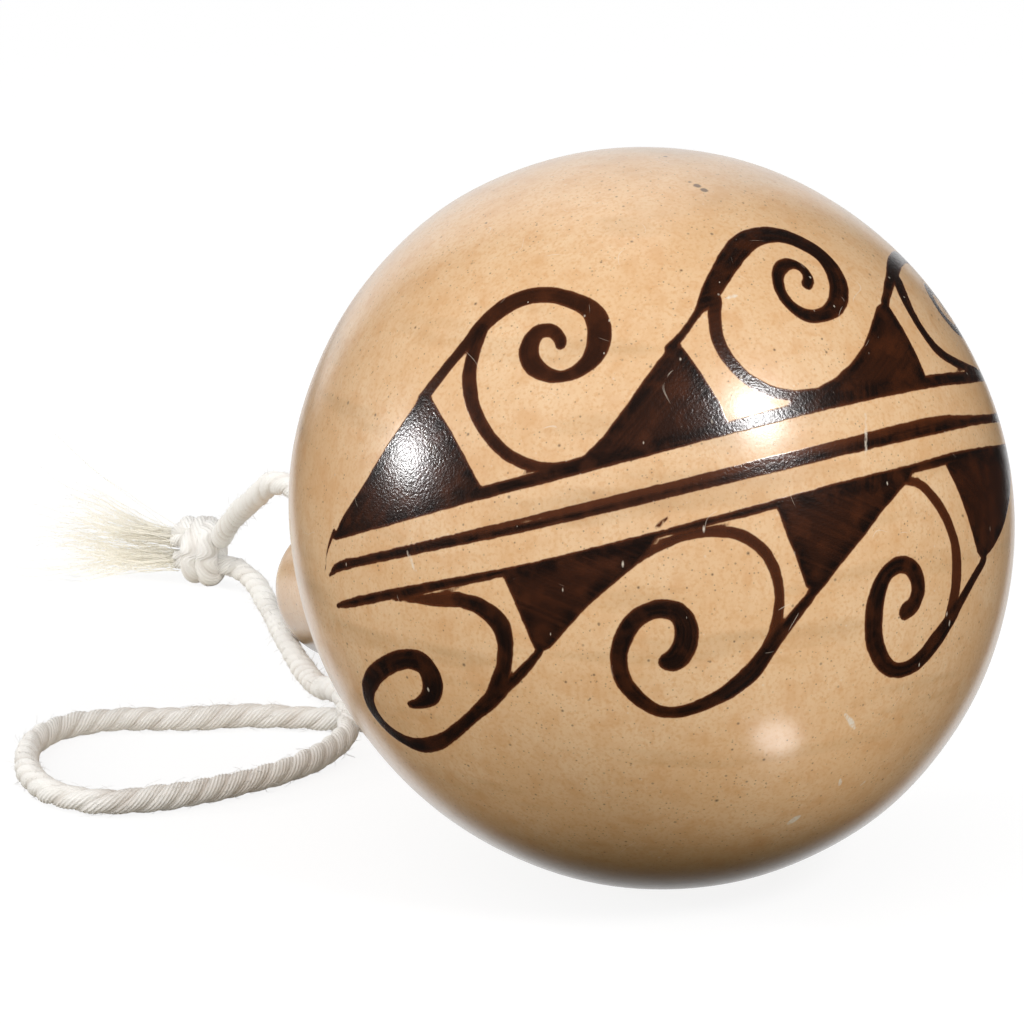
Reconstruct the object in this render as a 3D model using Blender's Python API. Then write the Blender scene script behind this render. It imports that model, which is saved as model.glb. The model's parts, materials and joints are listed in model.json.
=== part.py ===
"""Hand-built clay rattle lying on a table.

Two pinched half bowls are luted together with a coil of clay round loose pellets,
a solid handle is tenoned and luted to the rear bowl, and a cotton cord runs through
an eye near the handle's end and is tied in an overhand knot.

Frame: metres, +Z up, the table at z = 0, the ball's centre above the origin,
the handle lying towards +Y.
"""

import math

import bmesh
import bpy
from mathutils import Matrix, Vector

# Ball
BALL_LONG = 0.0837            # widest way across the ball, square to the handle's axis
BALL_SHORT = 0.0802           # narrowest way across, square to the handle's axis
BALL_AXIAL = 0.0820           # along the handle's axis
BALL_ROLL = math.radians(19.6)  # lean of the widest way, towards -X
WALL = 0.0041                 # thinnest place of the wall round the chamber
RESTING_RADIUS = 0.0050       # flat that the ball dried on
SEAM_GROOVE_WIDTH = 0.0044    # V-groove between the bowls, at the outer surface
SEAM_LIP = 0.0014             # wall below the groove where the bowls meet

# Handle
HANDLE_LENGTH = 0.0714        # back of the ball to the centre of the handle's round end
HANDLE_BASE_RADIUS = 0.0105
HANDLE_WAIST_RADIUS = 0.0090
HANDLE_WAIST_FROM_END = 0.0344  # thinnest place to the centre of the round end
HANDLE_END_RADIUS = 0.0100
HANDLE_RESTING_RADIUS = 0.0020  # flat that the handle's end dried on
TENON_RADIUS = 0.0075
TENON_SETBACK = 0.0004        # tenon's face back from the chamber
NECK_COIL_RADIUS = 0.0165     # luting coil round the handle's base
NECK_COIL_HEIGHT = 0.0070     # coil's height up the handle, from the shoulder
NECK_COIL_EDGE = 0.0006       # thickness of the coil's smoothed-out edges
EYE_PLAY = 0.0012             # room round the cord in its pierced eye
EYE_FROM_END = 0.0145         # eye to the centre of the handle's round end, along the axis
EYE_SLANT = math.radians(38)  # eye's lean from upright, its top towards -X

# Pellets
PELLET_DIAMETER = 0.0058
PELLET_VARIATION = 0.0005     # hand-rolled pellets differ by up to this in diameter
PELLET_GAP = 0.0005           # least room between neighbours' tracks
PELLET_ROW_SPREAD = math.radians(58)  # how far up the chamber's sides the row may reach
GOLDEN_ANGLE = math.pi * (3 - math.sqrt(5))  # mixes the pellets' sizes along the row

# Cord
CORD_DIAMETER = 0.0032
CORD_POINT_SPACING = 2.5      # tube points, in cord diameters
SHORT_ROUTE = [               # from above the eye to the knot
    (-0.0085, 0.0957, 0.0246),
    (-0.0105, 0.0993, 0.0264),
    (-0.0117, 0.1042, 0.0262),
    (-0.0118, 0.1110, 0.0233),
    (-0.0108, 0.1185, 0.0206),
    (-0.0096, 0.1262, 0.0181),
    (-0.0081, 0.1335, 0.0158),
    (-0.0067, 0.1435, 0.0118),
    (-0.0048, 0.1533, 0.0079),
]
LONG_ROUTE = [                # from below the eye, under the handle, round the loop, to the knot
    (0.0096, 0.0940, 0.0032),
    (0.0140, 0.0937, 0.0019),
    (0.0198, 0.0912, 0.00165),
    (0.0230, 0.0850, 0.00165),
    (0.0220, 0.0775, 0.00165),
    (0.0160, 0.0718, 0.00165),
    (0.0070, 0.0686, 0.00165),
    (-0.0030, 0.0676, 0.00165),
    (-0.0125, 0.0696, 0.00165),
    (-0.0180, 0.0730, 0.00165),
    (-0.0245, 0.0765, 0.00165),
    (-0.0330, 0.0780, 0.00165),
    (-0.0405, 0.0806, 0.00165),
    (-0.0477, 0.0796, 0.00165),
    (-0.0530, 0.0742, 0.00165),
    (-0.0562, 0.0662, 0.00165),
    (-0.0576, 0.0576, 0.00165),
    (-0.0567, 0.0496, 0.00165),
    (-0.0525, 0.0443, 0.00165),
    (-0.0460, 0.0434, 0.00165),
    (-0.0390, 0.0447, 0.00165),
    (-0.0305, 0.0480, 0.00165),
    (-0.0242, 0.0522, 0.00165),
    (-0.0192, 0.0570, 0.00185),
    (-0.0160, 0.0608, 0.00260),
    (-0.0142, 0.0653, 0.00420),
    (-0.0134, 0.0700, 0.00508),
    (-0.0128, 0.0760, 0.00430),
    (-0.0119, 0.0840, 0.00250),
    (-0.0106, 0.0930, 0.00170),
    (-0.0090, 0.1040, 0.00165),
    (-0.0064, 0.1180, 0.00165),
    (-0.0033, 0.1350, 0.00165),
    (-0.0016, 0.1470, 0.00230),
    (-0.0022, 0.1540, 0.00310),
]

# Knot and frayed ends
KNOT_CENTRE = (-0.0066, 0.1582, 0.0053)
KNOT_LENGTH = 0.0080          # along the strands
KNOT_WIDTH = 0.0104           # across the strands
KNOT_HEADING = math.radians(143)  # way the ends leave the knot, from +X towards +Y
KNOT_WRAPS = 3
KNOT_WRAP_SLANT = 2.5         # radians that a wrap turns over half the knot's length
KNOT_WRAP_DEPTH = 0.05        # half a wrap's ridge, as a share of the knot's radius
FRAYED_LENGTH = 0.0225
FRAYED_PARTING = 0.0019       # each end above or below the knot's middle where it leaves
FRAYED_RISE = 0.0016          # how far the upper end lifts on its way
FRAYED_FORK = math.radians(9)  # each end's heading off the knot's heading
FRAYED_ROOT = 0.80            # a frayed end's radius at the knot, in cord radii
FRAYED_TIP = 0.25             # at its tip
FRAYED_SWELL = 0.75           # added where it is fullest

# Fits and facets
CLEARANCE = 0.0003            # between pieces that touch
TURNED_SEGMENTS = 48
HANDLE_SEGMENTS = 32
EYE_SEGMENTS = 20
OUTER_RINGS = 13
INNER_RINGS = 8

BALL_SEMI = Vector((BALL_SHORT, BALL_AXIAL, BALL_LONG)) / 2
CAVITY_RADIUS = min(BALL_SEMI) - WALL
BALL_RADIUS = (BALL_SEMI.x + BALL_SEMI.z) / 2
NECK_OPENING_RADIUS = TENON_RADIUS + CLEARANCE
SHOULDER_REACH = BALL_SEMI.y * math.sqrt(1 - (NECK_OPENING_RADIUS / BALL_SEMI.z) ** 2) + CLEARANCE
HANDLE_REACH = BALL_SEMI.y + HANDLE_LENGTH
HANDLE_WAIST_REACH = HANDLE_REACH - HANDLE_WAIST_FROM_END
EYE_REACH = HANDLE_REACH - EYE_FROM_END
EYE_DIAMETER = CORD_DIAMETER + 2 * EYE_PLAY


def lying_pose():
    """Height of the ball's centre and lean of the handle, both ends resting on the table.

    The ball's support below its centre depends on the lean, so the pair is found by iteration.
    """
    end_height = math.sqrt(HANDLE_END_RADIUS ** 2 - HANDLE_RESTING_RADIUS ** 2)
    lean = 0.0
    for _ in range(40):
        down = ball_turn(lean).transposed() @ Vector((0, 0, -1))
        support = math.sqrt(sum((semi * part) ** 2 for semi, part in zip(BALL_SEMI, down)))
        height = math.sqrt(support ** 2 - RESTING_RADIUS ** 2)
        lean = math.asin((height - end_height) / HANDLE_REACH)
    return height, lean


def ball_turn(lean):
    """Rotation from the ball's own axes to the table's: roll about the handle, then lean."""
    return Matrix.Rotation(-lean, 3, "X") @ Matrix.Rotation(-BALL_ROLL, 3, "Y")


def make_material(name, colour, roughness):
    """Principled material with one colour."""
    material = bpy.data.materials.new(name)
    material.use_nodes = True
    shader = material.node_tree.nodes["Principled BSDF"]
    shader.inputs["Base Color"].default_value = (*colour, 1)
    shader.inputs["Roughness"].default_value = roughness
    shader.inputs["Metallic"].default_value = 0
    return material


def make_empty(name, location, rotation):
    """Reference frame that pieces are parented to."""
    empty = bpy.data.objects.new(name, None)
    empty.matrix_world = Matrix.Translation(location) @ rotation.to_4x4()
    bpy.context.collection.objects.link(empty)
    return empty


def add_object(name, data, parent, material=None):
    """Link a mesh or curve as a named piece under its frame."""
    piece = bpy.data.objects.new(name, data)
    piece.parent = parent
    if material:
        data.materials.append(material)
    bpy.context.collection.objects.link(piece)
    return piece


def mesh_from(bm, name):
    """Close a bmesh into a smooth-shaded mesh with its faces pointing out."""
    bmesh.ops.recalc_face_normals(bm, faces=bm.faces)
    mesh = bpy.data.meshes.new(name)
    bm.to_mesh(mesh)
    bm.free()
    mesh.shade_smooth()
    mesh.set_sharp_from_angle(angle=math.radians(35))
    return mesh


def turned(profile, segments, closed):
    """Spin (radius, along) points about local +Y; an open profile starts and ends on the axis."""
    bm = bmesh.new()
    points = [bm.verts.new((radius, along, 0)) for radius, along in profile]
    pairs = list(zip(points, points[1:]))
    if closed:
        pairs.append((points[-1], points[0]))
    edges = [bm.edges.new(pair) for pair in pairs]
    bmesh.ops.spin(
        bm, geom=points + edges, axis=(0, 1, 0), cent=(0, 0, 0),
        angle=math.tau, steps=segments, use_merge=True,
    )
    bmesh.ops.remove_doubles(bm, verts=bm.verts, dist=1e-6)
    return bm


def press_oval(bm):
    """Squeeze the outer surface to the ball's oval cross-section and leave the chamber round."""
    on_surface = 0.99
    for vert in bm.verts:
        share = math.hypot(vert.co.x / BALL_RADIUS, vert.co.z / BALL_RADIUS, vert.co.y / BALL_SEMI.y)
        if share > on_surface:
            vert.co.x *= BALL_SEMI.x / BALL_RADIUS
            vert.co.z *= BALL_SEMI.z / BALL_RADIUS


def outer_point(angle):
    """Point on the ball's unsqueezed outline, the angle taken from the handle's axis."""
    return BALL_RADIUS * math.sin(angle), BALL_SEMI.y * math.cos(angle)


def outer_radius(along):
    """Ball's unsqueezed radius at a distance along the handle's axis."""
    return BALL_RADIUS * math.sqrt(1 - (along / BALL_SEMI.y) ** 2)


def half_shell_profile(side):
    """Bowl from its outer crown to the groove, the lip and the inner crown; side is -1 or +1."""
    half_groove = SEAM_GROOVE_WIDTH / 2
    rim_angle = math.acos(half_groove / BALL_SEMI.y)
    profile = []
    for ring in range(OUTER_RINGS + 1):
        radius, along = outer_point(rim_angle * ring / OUTER_RINGS)
        profile.append((radius, side * along))
    lip = CLEARANCE / 2
    profile.append((CAVITY_RADIUS + SEAM_LIP, side * lip))
    lip_angle = math.acos(lip / CAVITY_RADIUS)
    for ring in range(INNER_RINGS + 1):
        angle = lip_angle * (1 - ring / INNER_RINGS)
        profile.append((CAVITY_RADIUS * math.sin(angle), side * CAVITY_RADIUS * math.cos(angle)))
    return profile


def make_half_shell(name, side, frame, material):
    """Pinched half bowl with a bevelled rim."""
    bm = turned(half_shell_profile(side), TURNED_SEGMENTS, closed=False)
    press_oval(bm)
    return add_object(name, mesh_from(bm, name), frame, material)


def make_seam_coil(frame, material):
    """Coil of clay pressed into the groove between the bowls and smoothed flush."""
    root = CAVITY_RADIUS + SEAM_LIP
    half_groove = SEAM_GROOVE_WIDTH / 2
    lip = CLEARANCE / 2
    edge = half_groove - CLEARANCE
    edge_radius = outer_radius(half_groove)
    apex = root + (edge_radius - root) * (CLEARANCE - lip) / (half_groove - lip)
    profile = [
        (apex, 0),
        (edge_radius, -edge),
        (outer_radius(0), 0),
        (edge_radius, edge),
    ]
    bm = turned(profile, TURNED_SEGMENTS, closed=True)
    press_oval(bm)
    return add_object("seam_coil", mesh_from(bm, "seam_coil"), frame, material)


def handle_radius(along):
    """Handle's radius: straight at the base, eased to the waist, then out to the round end."""
    straight = SHOULDER_REACH + NECK_COIL_HEIGHT
    if along <= straight:
        return HANDLE_BASE_RADIUS
    if along <= HANDLE_WAIST_REACH:
        share = (along - straight) / (HANDLE_WAIST_REACH - straight)
        start, stop = HANDLE_BASE_RADIUS, HANDLE_WAIST_RADIUS
    else:
        share = (along - HANDLE_WAIST_REACH) / (HANDLE_REACH - HANDLE_WAIST_REACH)
        start, stop = HANDLE_WAIST_RADIUS, HANDLE_END_RADIUS
    return start + (stop - start) * (1 - math.cos(math.pi * share)) / 2


def make_handle(frame, material):
    """Solid handle: a tenon for the neck opening, a shoulder, a soft waist and a round end."""
    tenon_reach = CAVITY_RADIUS + TENON_SETBACK
    profile = [(0, tenon_reach), (TENON_RADIUS, tenon_reach), (TENON_RADIUS, SHOULDER_REACH)]
    body_rings = 14
    for ring in range(body_rings + 1):
        along = SHOULDER_REACH + (HANDLE_REACH - SHOULDER_REACH) * ring / body_rings
        profile.append((handle_radius(along), along))
    end_rings = 7
    for ring in range(1, end_rings + 1):
        angle = math.pi / 2 * ring / end_rings
        radius = HANDLE_END_RADIUS * math.cos(angle)
        profile.append((radius, HANDLE_REACH + HANDLE_END_RADIUS * math.sin(angle)))
    profile[-1] = (0, profile[-1][1])
    bm = turned(profile, HANDLE_SEGMENTS, closed=False)
    return add_object("handle", mesh_from(bm, "handle"), frame, material)


def make_neck_coil(frame, material):
    """Coil of clay smoothed into a hollow fillet between the ball and the handle."""
    inner = HANDLE_BASE_RADIUS + CLEARANCE
    top = SHOULDER_REACH + NECK_COIL_HEIGHT
    root = BALL_SEMI.y * math.sqrt(1 - (NECK_COIL_RADIUS / BALL_SEMI.x) ** 2)
    edge = root + CLEARANCE + NECK_COIL_EDGE
    below = root - NECK_COIL_EDGE
    profile = [(inner, below), (NECK_COIL_RADIUS, below), (NECK_COIL_RADIUS, edge)]
    fillet_rings = 7
    lip = inner + NECK_COIL_EDGE
    for ring in range(1, fillet_rings + 1):
        angle = math.pi / 2 * ring / fillet_rings
        radius = NECK_COIL_RADIUS - (NECK_COIL_RADIUS - lip) * math.sin(angle)
        profile.append((radius, top - (top - edge) * math.cos(angle)))
    profile.append((inner, top))
    bm = turned(profile, TURNED_SEGMENTS, closed=True)
    return add_object("neck_coil", mesh_from(bm, "neck_coil"), frame, material)


def make_cutter(name, bm, parent):
    """Hidden solid that only cuts other pieces."""
    cutter = add_object(name, mesh_from(bm, name), parent)
    cutter.hide_render = True
    cutter.display_type = "WIRE"
    return cutter


def make_ball_cutter(frame):
    """Ball's outside, larger all round by the clearance."""
    bm = bmesh.new()
    bmesh.ops.create_uvsphere(bm, u_segments=TURNED_SEGMENTS, v_segments=2 * OUTER_RINGS, radius=1)
    bmesh.ops.rotate(bm, verts=bm.verts, cent=(0, 0, 0), matrix=Matrix.Rotation(math.pi / 2, 3, "X"))
    bmesh.ops.scale(bm, verts=bm.verts, vec=BALL_SEMI + Vector((CLEARANCE,) * 3))
    return make_cutter("ball_cutter", bm, frame)


def make_cylinder_cutter(name, radius, segments, centre, direction, length, parent):
    """Round cutter about a direction."""
    bm = bmesh.new()
    bmesh.ops.create_cone(
        bm, cap_ends=True, segments=segments, radius1=radius, radius2=radius, depth=length,
    )
    aim = Vector((0, 0, 1)).rotation_difference(direction).to_matrix().to_4x4()
    bm.transform(Matrix.Translation(centre) @ aim)
    return make_cutter(name, bm, parent)


def make_table_cutter():
    """Everything below the table, which leaves the two resting flats."""
    bm = bmesh.new()
    bmesh.ops.create_cube(bm, size=4 * HANDLE_REACH)
    bmesh.ops.translate(bm, verts=bm.verts, vec=(0, 0, -2 * HANDLE_REACH))
    return make_cutter("table_cutter", bm, None)


def cut(piece, cutter):
    """Take the cutter's shape out of a piece."""
    modifier = piece.modifiers.new(cutter.name, "BOOLEAN")
    modifier.operation = "DIFFERENCE"
    modifier.object = cutter


def make_pellets(frame, material):
    """Pellets side by side at the bottom of the chamber, each on its own track round it."""
    spacing = PELLET_DIAMETER + PELLET_VARIATION + PELLET_GAP
    row_reach = CAVITY_RADIUS - PELLET_DIAMETER / 2 - CLEARANCE
    each_side = int(row_reach * math.sin(PELLET_ROW_SPREAD) / spacing)
    for number in range(1, 2 * each_side + 2):
        size = PELLET_DIAMETER + PELLET_VARIATION * math.sin(GOLDEN_ANGLE * number)
        across = (number - 1 - each_side) * spacing
        reach = CAVITY_RADIUS - size / 2 - CLEARANCE
        down = math.sqrt(reach ** 2 - across ** 2)
        bm = bmesh.new()
        bmesh.ops.create_uvsphere(bm, u_segments=16, v_segments=9, radius=size / 2)
        bmesh.ops.translate(bm, verts=bm.verts, vec=(across, 0, -down))
        name = f"pellet_{number}"
        add_object(name, mesh_from(bm, name), frame, material)


def smooth_route(route, spacing):
    """Points at an even spacing on a centripetal Catmull-Rom curve through the route's points."""
    points = [Vector(point) for point in route]
    points = [2 * points[0] - points[1]] + points + [2 * points[-1] - points[-2]]
    fine = []
    for before, start, stop, after in zip(points, points[1:], points[2:], points[3:]):
        lead = math.sqrt((start - before).length)
        span = math.sqrt((stop - start).length)
        trail = math.sqrt((after - stop).length)
        leave = (start - before) / lead - (stop - before) / (lead + span) + (stop - start) / span
        arrive = (stop - start) / span - (after - start) / (span + trail) + (after - stop) / trail
        for step in range(24):
            t = step / 24
            fine.append(
                start * (2 * t ** 3 - 3 * t ** 2 + 1) + leave * span * (t ** 3 - 2 * t ** 2 + t)
                + stop * (3 * t ** 2 - 2 * t ** 3) + arrive * span * (t ** 3 - t ** 2)
            )
    fine.append(points[-2])
    lengths = [0.0]
    for start, stop in zip(fine, fine[1:]):
        lengths.append(lengths[-1] + (stop - start).length)
    count = max(2, round(lengths[-1] / spacing))
    even = []
    index = 0
    for step in range(count + 1):
        target = lengths[-1] * step / count
        while index < len(fine) - 2 and lengths[index + 1] < target:
            index += 1
        share = (target - lengths[index]) / (lengths[index + 1] - lengths[index])
        even.append(fine[index].lerp(fine[index + 1], share))
    return even


def make_tube(name, points, radii, material):
    """Round tube with filled ends through the points; radii are shares of the cord's radius."""
    curve = bpy.data.curves.new(name, "CURVE")
    curve.dimensions = "3D"
    curve.bevel_depth = CORD_DIAMETER / 2
    curve.bevel_resolution = 2
    curve.use_fill_caps = True
    spline = curve.splines.new("POLY")
    spline.points.add(len(points) - 1)
    for spot, point, radius in zip(spline.points, points, radii):
        spot.co = (*point, 1)
        spot.radius = radius
    return add_object(name, curve, None, material)


def make_strand(name, route, eye, eye_end, material):
    """Cord from the eye's middle, out of one mouth and along its route to the knot."""
    middle = eye + (eye_end - eye).normalized() * CLEARANCE / 2
    halfway = eye.lerp(eye_end, 0.5)
    points = smooth_route([middle, halfway, eye_end] + route, CORD_POINT_SPACING * CORD_DIAMETER)
    return make_tube(name, points, [1.0] * len(points), material)


def make_knot(material):
    """Overhand knot: a short lump with slanting wraps."""
    bm = bmesh.new()
    bmesh.ops.create_uvsphere(bm, u_segments=24, v_segments=14, radius=1)
    for vert in bm.verts:
        around = math.atan2(vert.co.y, vert.co.x)
        wrap = math.cos(KNOT_WRAPS * around + KNOT_WRAP_SLANT * vert.co.z)
        vert.co *= 1 + KNOT_WRAP_DEPTH * (wrap - 1) * (1 - vert.co.z ** 2)
    bmesh.ops.scale(bm, verts=bm.verts, vec=(KNOT_WIDTH / 2, KNOT_WIDTH / 2, KNOT_LENGTH / 2))
    heading = Vector((math.cos(KNOT_HEADING), math.sin(KNOT_HEADING), 0))
    aim = Vector((0, 0, 1)).rotation_difference(heading).to_matrix().to_4x4()
    bm.transform(Matrix.Translation(KNOT_CENTRE) @ aim)
    return add_object("cord_knot", mesh_from(bm, "cord_knot"), None, material)


def make_frayed_end(name, side, material):
    """Frayed tuft past the knot: it swells from the cord and thins out; side is -1 low or +1 high."""
    heading = KNOT_HEADING - side * FRAYED_FORK
    forward = Vector((math.cos(heading), math.sin(heading), 0))
    leave = KNOT_LENGTH / 2 + CLEARANCE
    start = Vector(KNOT_CENTRE) + forward * leave + Vector((0, 0, side * FRAYED_PARTING))
    rise = FRAYED_RISE if side > 0 else 0
    steps = 7
    points = []
    radii = []
    for step in range(steps + 1):
        share = step / steps
        points.append(start + forward * FRAYED_LENGTH * share + Vector((0, 0, rise * share ** 2)))
        taper = FRAYED_ROOT + (FRAYED_TIP - FRAYED_ROOT) * share
        radii.append(taper + FRAYED_SWELL * math.sin(math.pi * share))
    lowest = min(point.z - radius * CORD_DIAMETER / 2 for point, radius in zip(points, radii))
    lift = Vector((0, 0, max(0, CLEARANCE - lowest)))
    return make_tube(name, [point + lift for point in points], radii, material)


def main():
    for piece in list(bpy.data.objects):
        bpy.data.objects.remove(piece, do_unlink=True)

    clay = make_material("polished_clay_slip", (0.62, 0.43, 0.25), 0.35)
    raw_clay = make_material("raw_fired_clay", (0.50, 0.33, 0.20), 0.80)
    cotton = make_material("cotton_cord", (0.82, 0.80, 0.76), 0.90)

    height, lean = lying_pose()
    centre = Vector((0, 0, height))
    ball_frame = make_empty("ball_frame", centre, ball_turn(lean))
    handle_frame = make_empty("handle_frame", centre, Matrix.Rotation(-lean, 3, "X"))
    chamber_frame = make_empty("chamber_frame", centre, Matrix.Identity(3))
    axis = Vector((0, math.cos(lean), -math.sin(lean)))
    eye = centre + axis * EYE_REACH
    eye_way = Vector((-math.sin(EYE_SLANT), 0, math.cos(EYE_SLANT)))
    eye_reach = handle_radius(EYE_REACH)

    make_half_shell("front_half_shell", -1, ball_frame, clay)
    rear = make_half_shell("rear_half_shell", 1, ball_frame, clay)
    make_seam_coil(ball_frame, clay)
    handle = make_handle(handle_frame, clay)
    neck_coil = make_neck_coil(handle_frame, clay)
    make_pellets(chamber_frame, raw_clay)

    along = Vector((0, 1, 0))
    neck_cutter = make_cylinder_cutter(
        "neck_cutter", NECK_OPENING_RADIUS, TURNED_SEGMENTS,
        along * BALL_SEMI.y, along, 2 * (BALL_SEMI.y - CAVITY_RADIUS + TENON_RADIUS), ball_frame,
    )
    eye_cutter = make_cylinder_cutter(
        "eye_cutter", EYE_DIAMETER / 2, EYE_SEGMENTS, eye, eye_way, 4 * eye_reach, None,
    )
    table_cutter = make_table_cutter()
    cut(rear, neck_cutter)
    cut(rear, table_cutter)
    cut(handle, eye_cutter)
    cut(handle, table_cutter)
    cut(neck_coil, make_ball_cutter(ball_frame))

    make_strand("cord_short_strand", SHORT_ROUTE, eye, eye + eye_way * eye_reach, cotton)
    make_strand("cord_long_strand", LONG_ROUTE, eye, eye - eye_way * eye_reach, cotton)
    make_knot(cotton)
    make_frayed_end("frayed_end_short", 1, cotton)
    make_frayed_end("frayed_end_long", -1, cotton)


main()
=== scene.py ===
"""Finish of a hand-built clay rattle lying on a pale table.

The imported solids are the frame. This script lays the visible surfaces over them: a burnished,
painted ball round its chamber, the luted handle with its pierced eye, a twisted cotton cord with
its knot and frayed ends, and the loose pellets inside the ball.
"""

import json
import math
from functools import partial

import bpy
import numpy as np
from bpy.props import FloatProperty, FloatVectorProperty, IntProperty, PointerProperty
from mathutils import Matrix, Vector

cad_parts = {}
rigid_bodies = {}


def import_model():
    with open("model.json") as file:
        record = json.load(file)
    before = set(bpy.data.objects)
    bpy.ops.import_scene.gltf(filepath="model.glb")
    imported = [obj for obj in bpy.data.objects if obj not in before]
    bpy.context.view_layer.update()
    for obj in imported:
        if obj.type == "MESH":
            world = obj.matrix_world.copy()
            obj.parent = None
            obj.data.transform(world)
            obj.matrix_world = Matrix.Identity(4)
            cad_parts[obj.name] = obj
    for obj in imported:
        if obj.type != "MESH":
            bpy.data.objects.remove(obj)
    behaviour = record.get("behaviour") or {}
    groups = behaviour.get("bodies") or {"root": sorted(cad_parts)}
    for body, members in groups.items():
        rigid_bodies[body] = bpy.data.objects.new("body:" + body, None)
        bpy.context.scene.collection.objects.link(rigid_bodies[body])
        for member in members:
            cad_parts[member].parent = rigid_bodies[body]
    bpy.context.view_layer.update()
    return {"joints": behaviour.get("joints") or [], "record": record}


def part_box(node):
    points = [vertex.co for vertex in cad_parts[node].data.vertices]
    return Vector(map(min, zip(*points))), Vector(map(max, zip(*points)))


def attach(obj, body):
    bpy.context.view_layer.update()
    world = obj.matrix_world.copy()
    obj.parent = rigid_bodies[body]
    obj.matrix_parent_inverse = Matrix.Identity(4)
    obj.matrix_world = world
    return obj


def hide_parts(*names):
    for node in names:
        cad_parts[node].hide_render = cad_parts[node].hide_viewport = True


bl_info = {
    "name": "Clay Rattle",
    "version": (1, 0, 0),
    "blender": (4, 5, 0),
    "location": "3D View > Sidebar > Rattle",
    "description": "Builds the visible surfaces of a hand-built clay rattle",
    "category": "Object",
}

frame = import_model()
BODIES = frame["record"]["behaviour"]["bodies"]
# Every pellet's hinge turns about the ball's centre
BALL_CENTRE = np.array(frame["joints"][0]["pos_m"], float)
MM = 0.001
UP = np.array([0.0, 0.0, 1.0])
# What many nodes share: a mix of colours, whose result is the third output, and an eased range
TINTED = {"data_type": "RGBA", "out": 2}
EASED = {"interpolation_type": "SMOOTHSTEP"}

# Cord routes, in metres: above the eye to the knot, and below the eye round the loop to the knot
LYING = 0.00165  # height of the cord's middle where it lies on the table
SHORT_ROUTE = [
    (-0.0085, 0.0957, 0.0246), (-0.0105, 0.0993, 0.0264), (-0.0117, 0.1042, 0.0262),
    (-0.0118, 0.111, 0.0233), (-0.0108, 0.1185, 0.0206), (-0.0096, 0.1262, 0.0181),
    (-0.0081, 0.1335, 0.0158), (-0.0067, 0.1435, 0.0118), (-0.0048, 0.1533, 0.0079),
]
LONG_ROUTE = [
    (0.0096, 0.094, 0.0032), (0.014, 0.0937, 0.0019), (0.0198, 0.0912, LYING),
    (0.023, 0.085, LYING), (0.022, 0.0775, LYING), (0.016, 0.0718, LYING), (0.007, 0.0686, LYING),
    (-0.003, 0.0676, LYING), (-0.0125, 0.0696, LYING), (-0.018, 0.073, LYING), (-0.0245, 0.0765, LYING),
    (-0.033, 0.078, LYING), (-0.0405, 0.0806, LYING), (-0.0477, 0.0796, LYING), (-0.053, 0.0742, LYING),
    (-0.0562, 0.0662, LYING), (-0.0576, 0.0576, LYING), (-0.0567, 0.0496, LYING), (-0.0525, 0.0443, LYING),
    (-0.046, 0.0434, LYING), (-0.039, 0.0447, LYING), (-0.0305, 0.048, LYING), (-0.0242, 0.0522, LYING),
    (-0.0192, 0.057, 0.00185), (-0.016, 0.0608, 0.0026), (-0.0142, 0.0653, 0.0042),
    (-0.0134, 0.07, 0.00508), (-0.0128, 0.076, 0.0043), (-0.0119, 0.084, 0.0025), (-0.0106, 0.093, 0.0017),
    (-0.009, 0.104, LYING), (-0.0064, 0.118, LYING), (-0.0033, 0.135, LYING), (-0.0016, 0.147, 0.0023),
    (-0.0022, 0.154, 0.0031),
]

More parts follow.
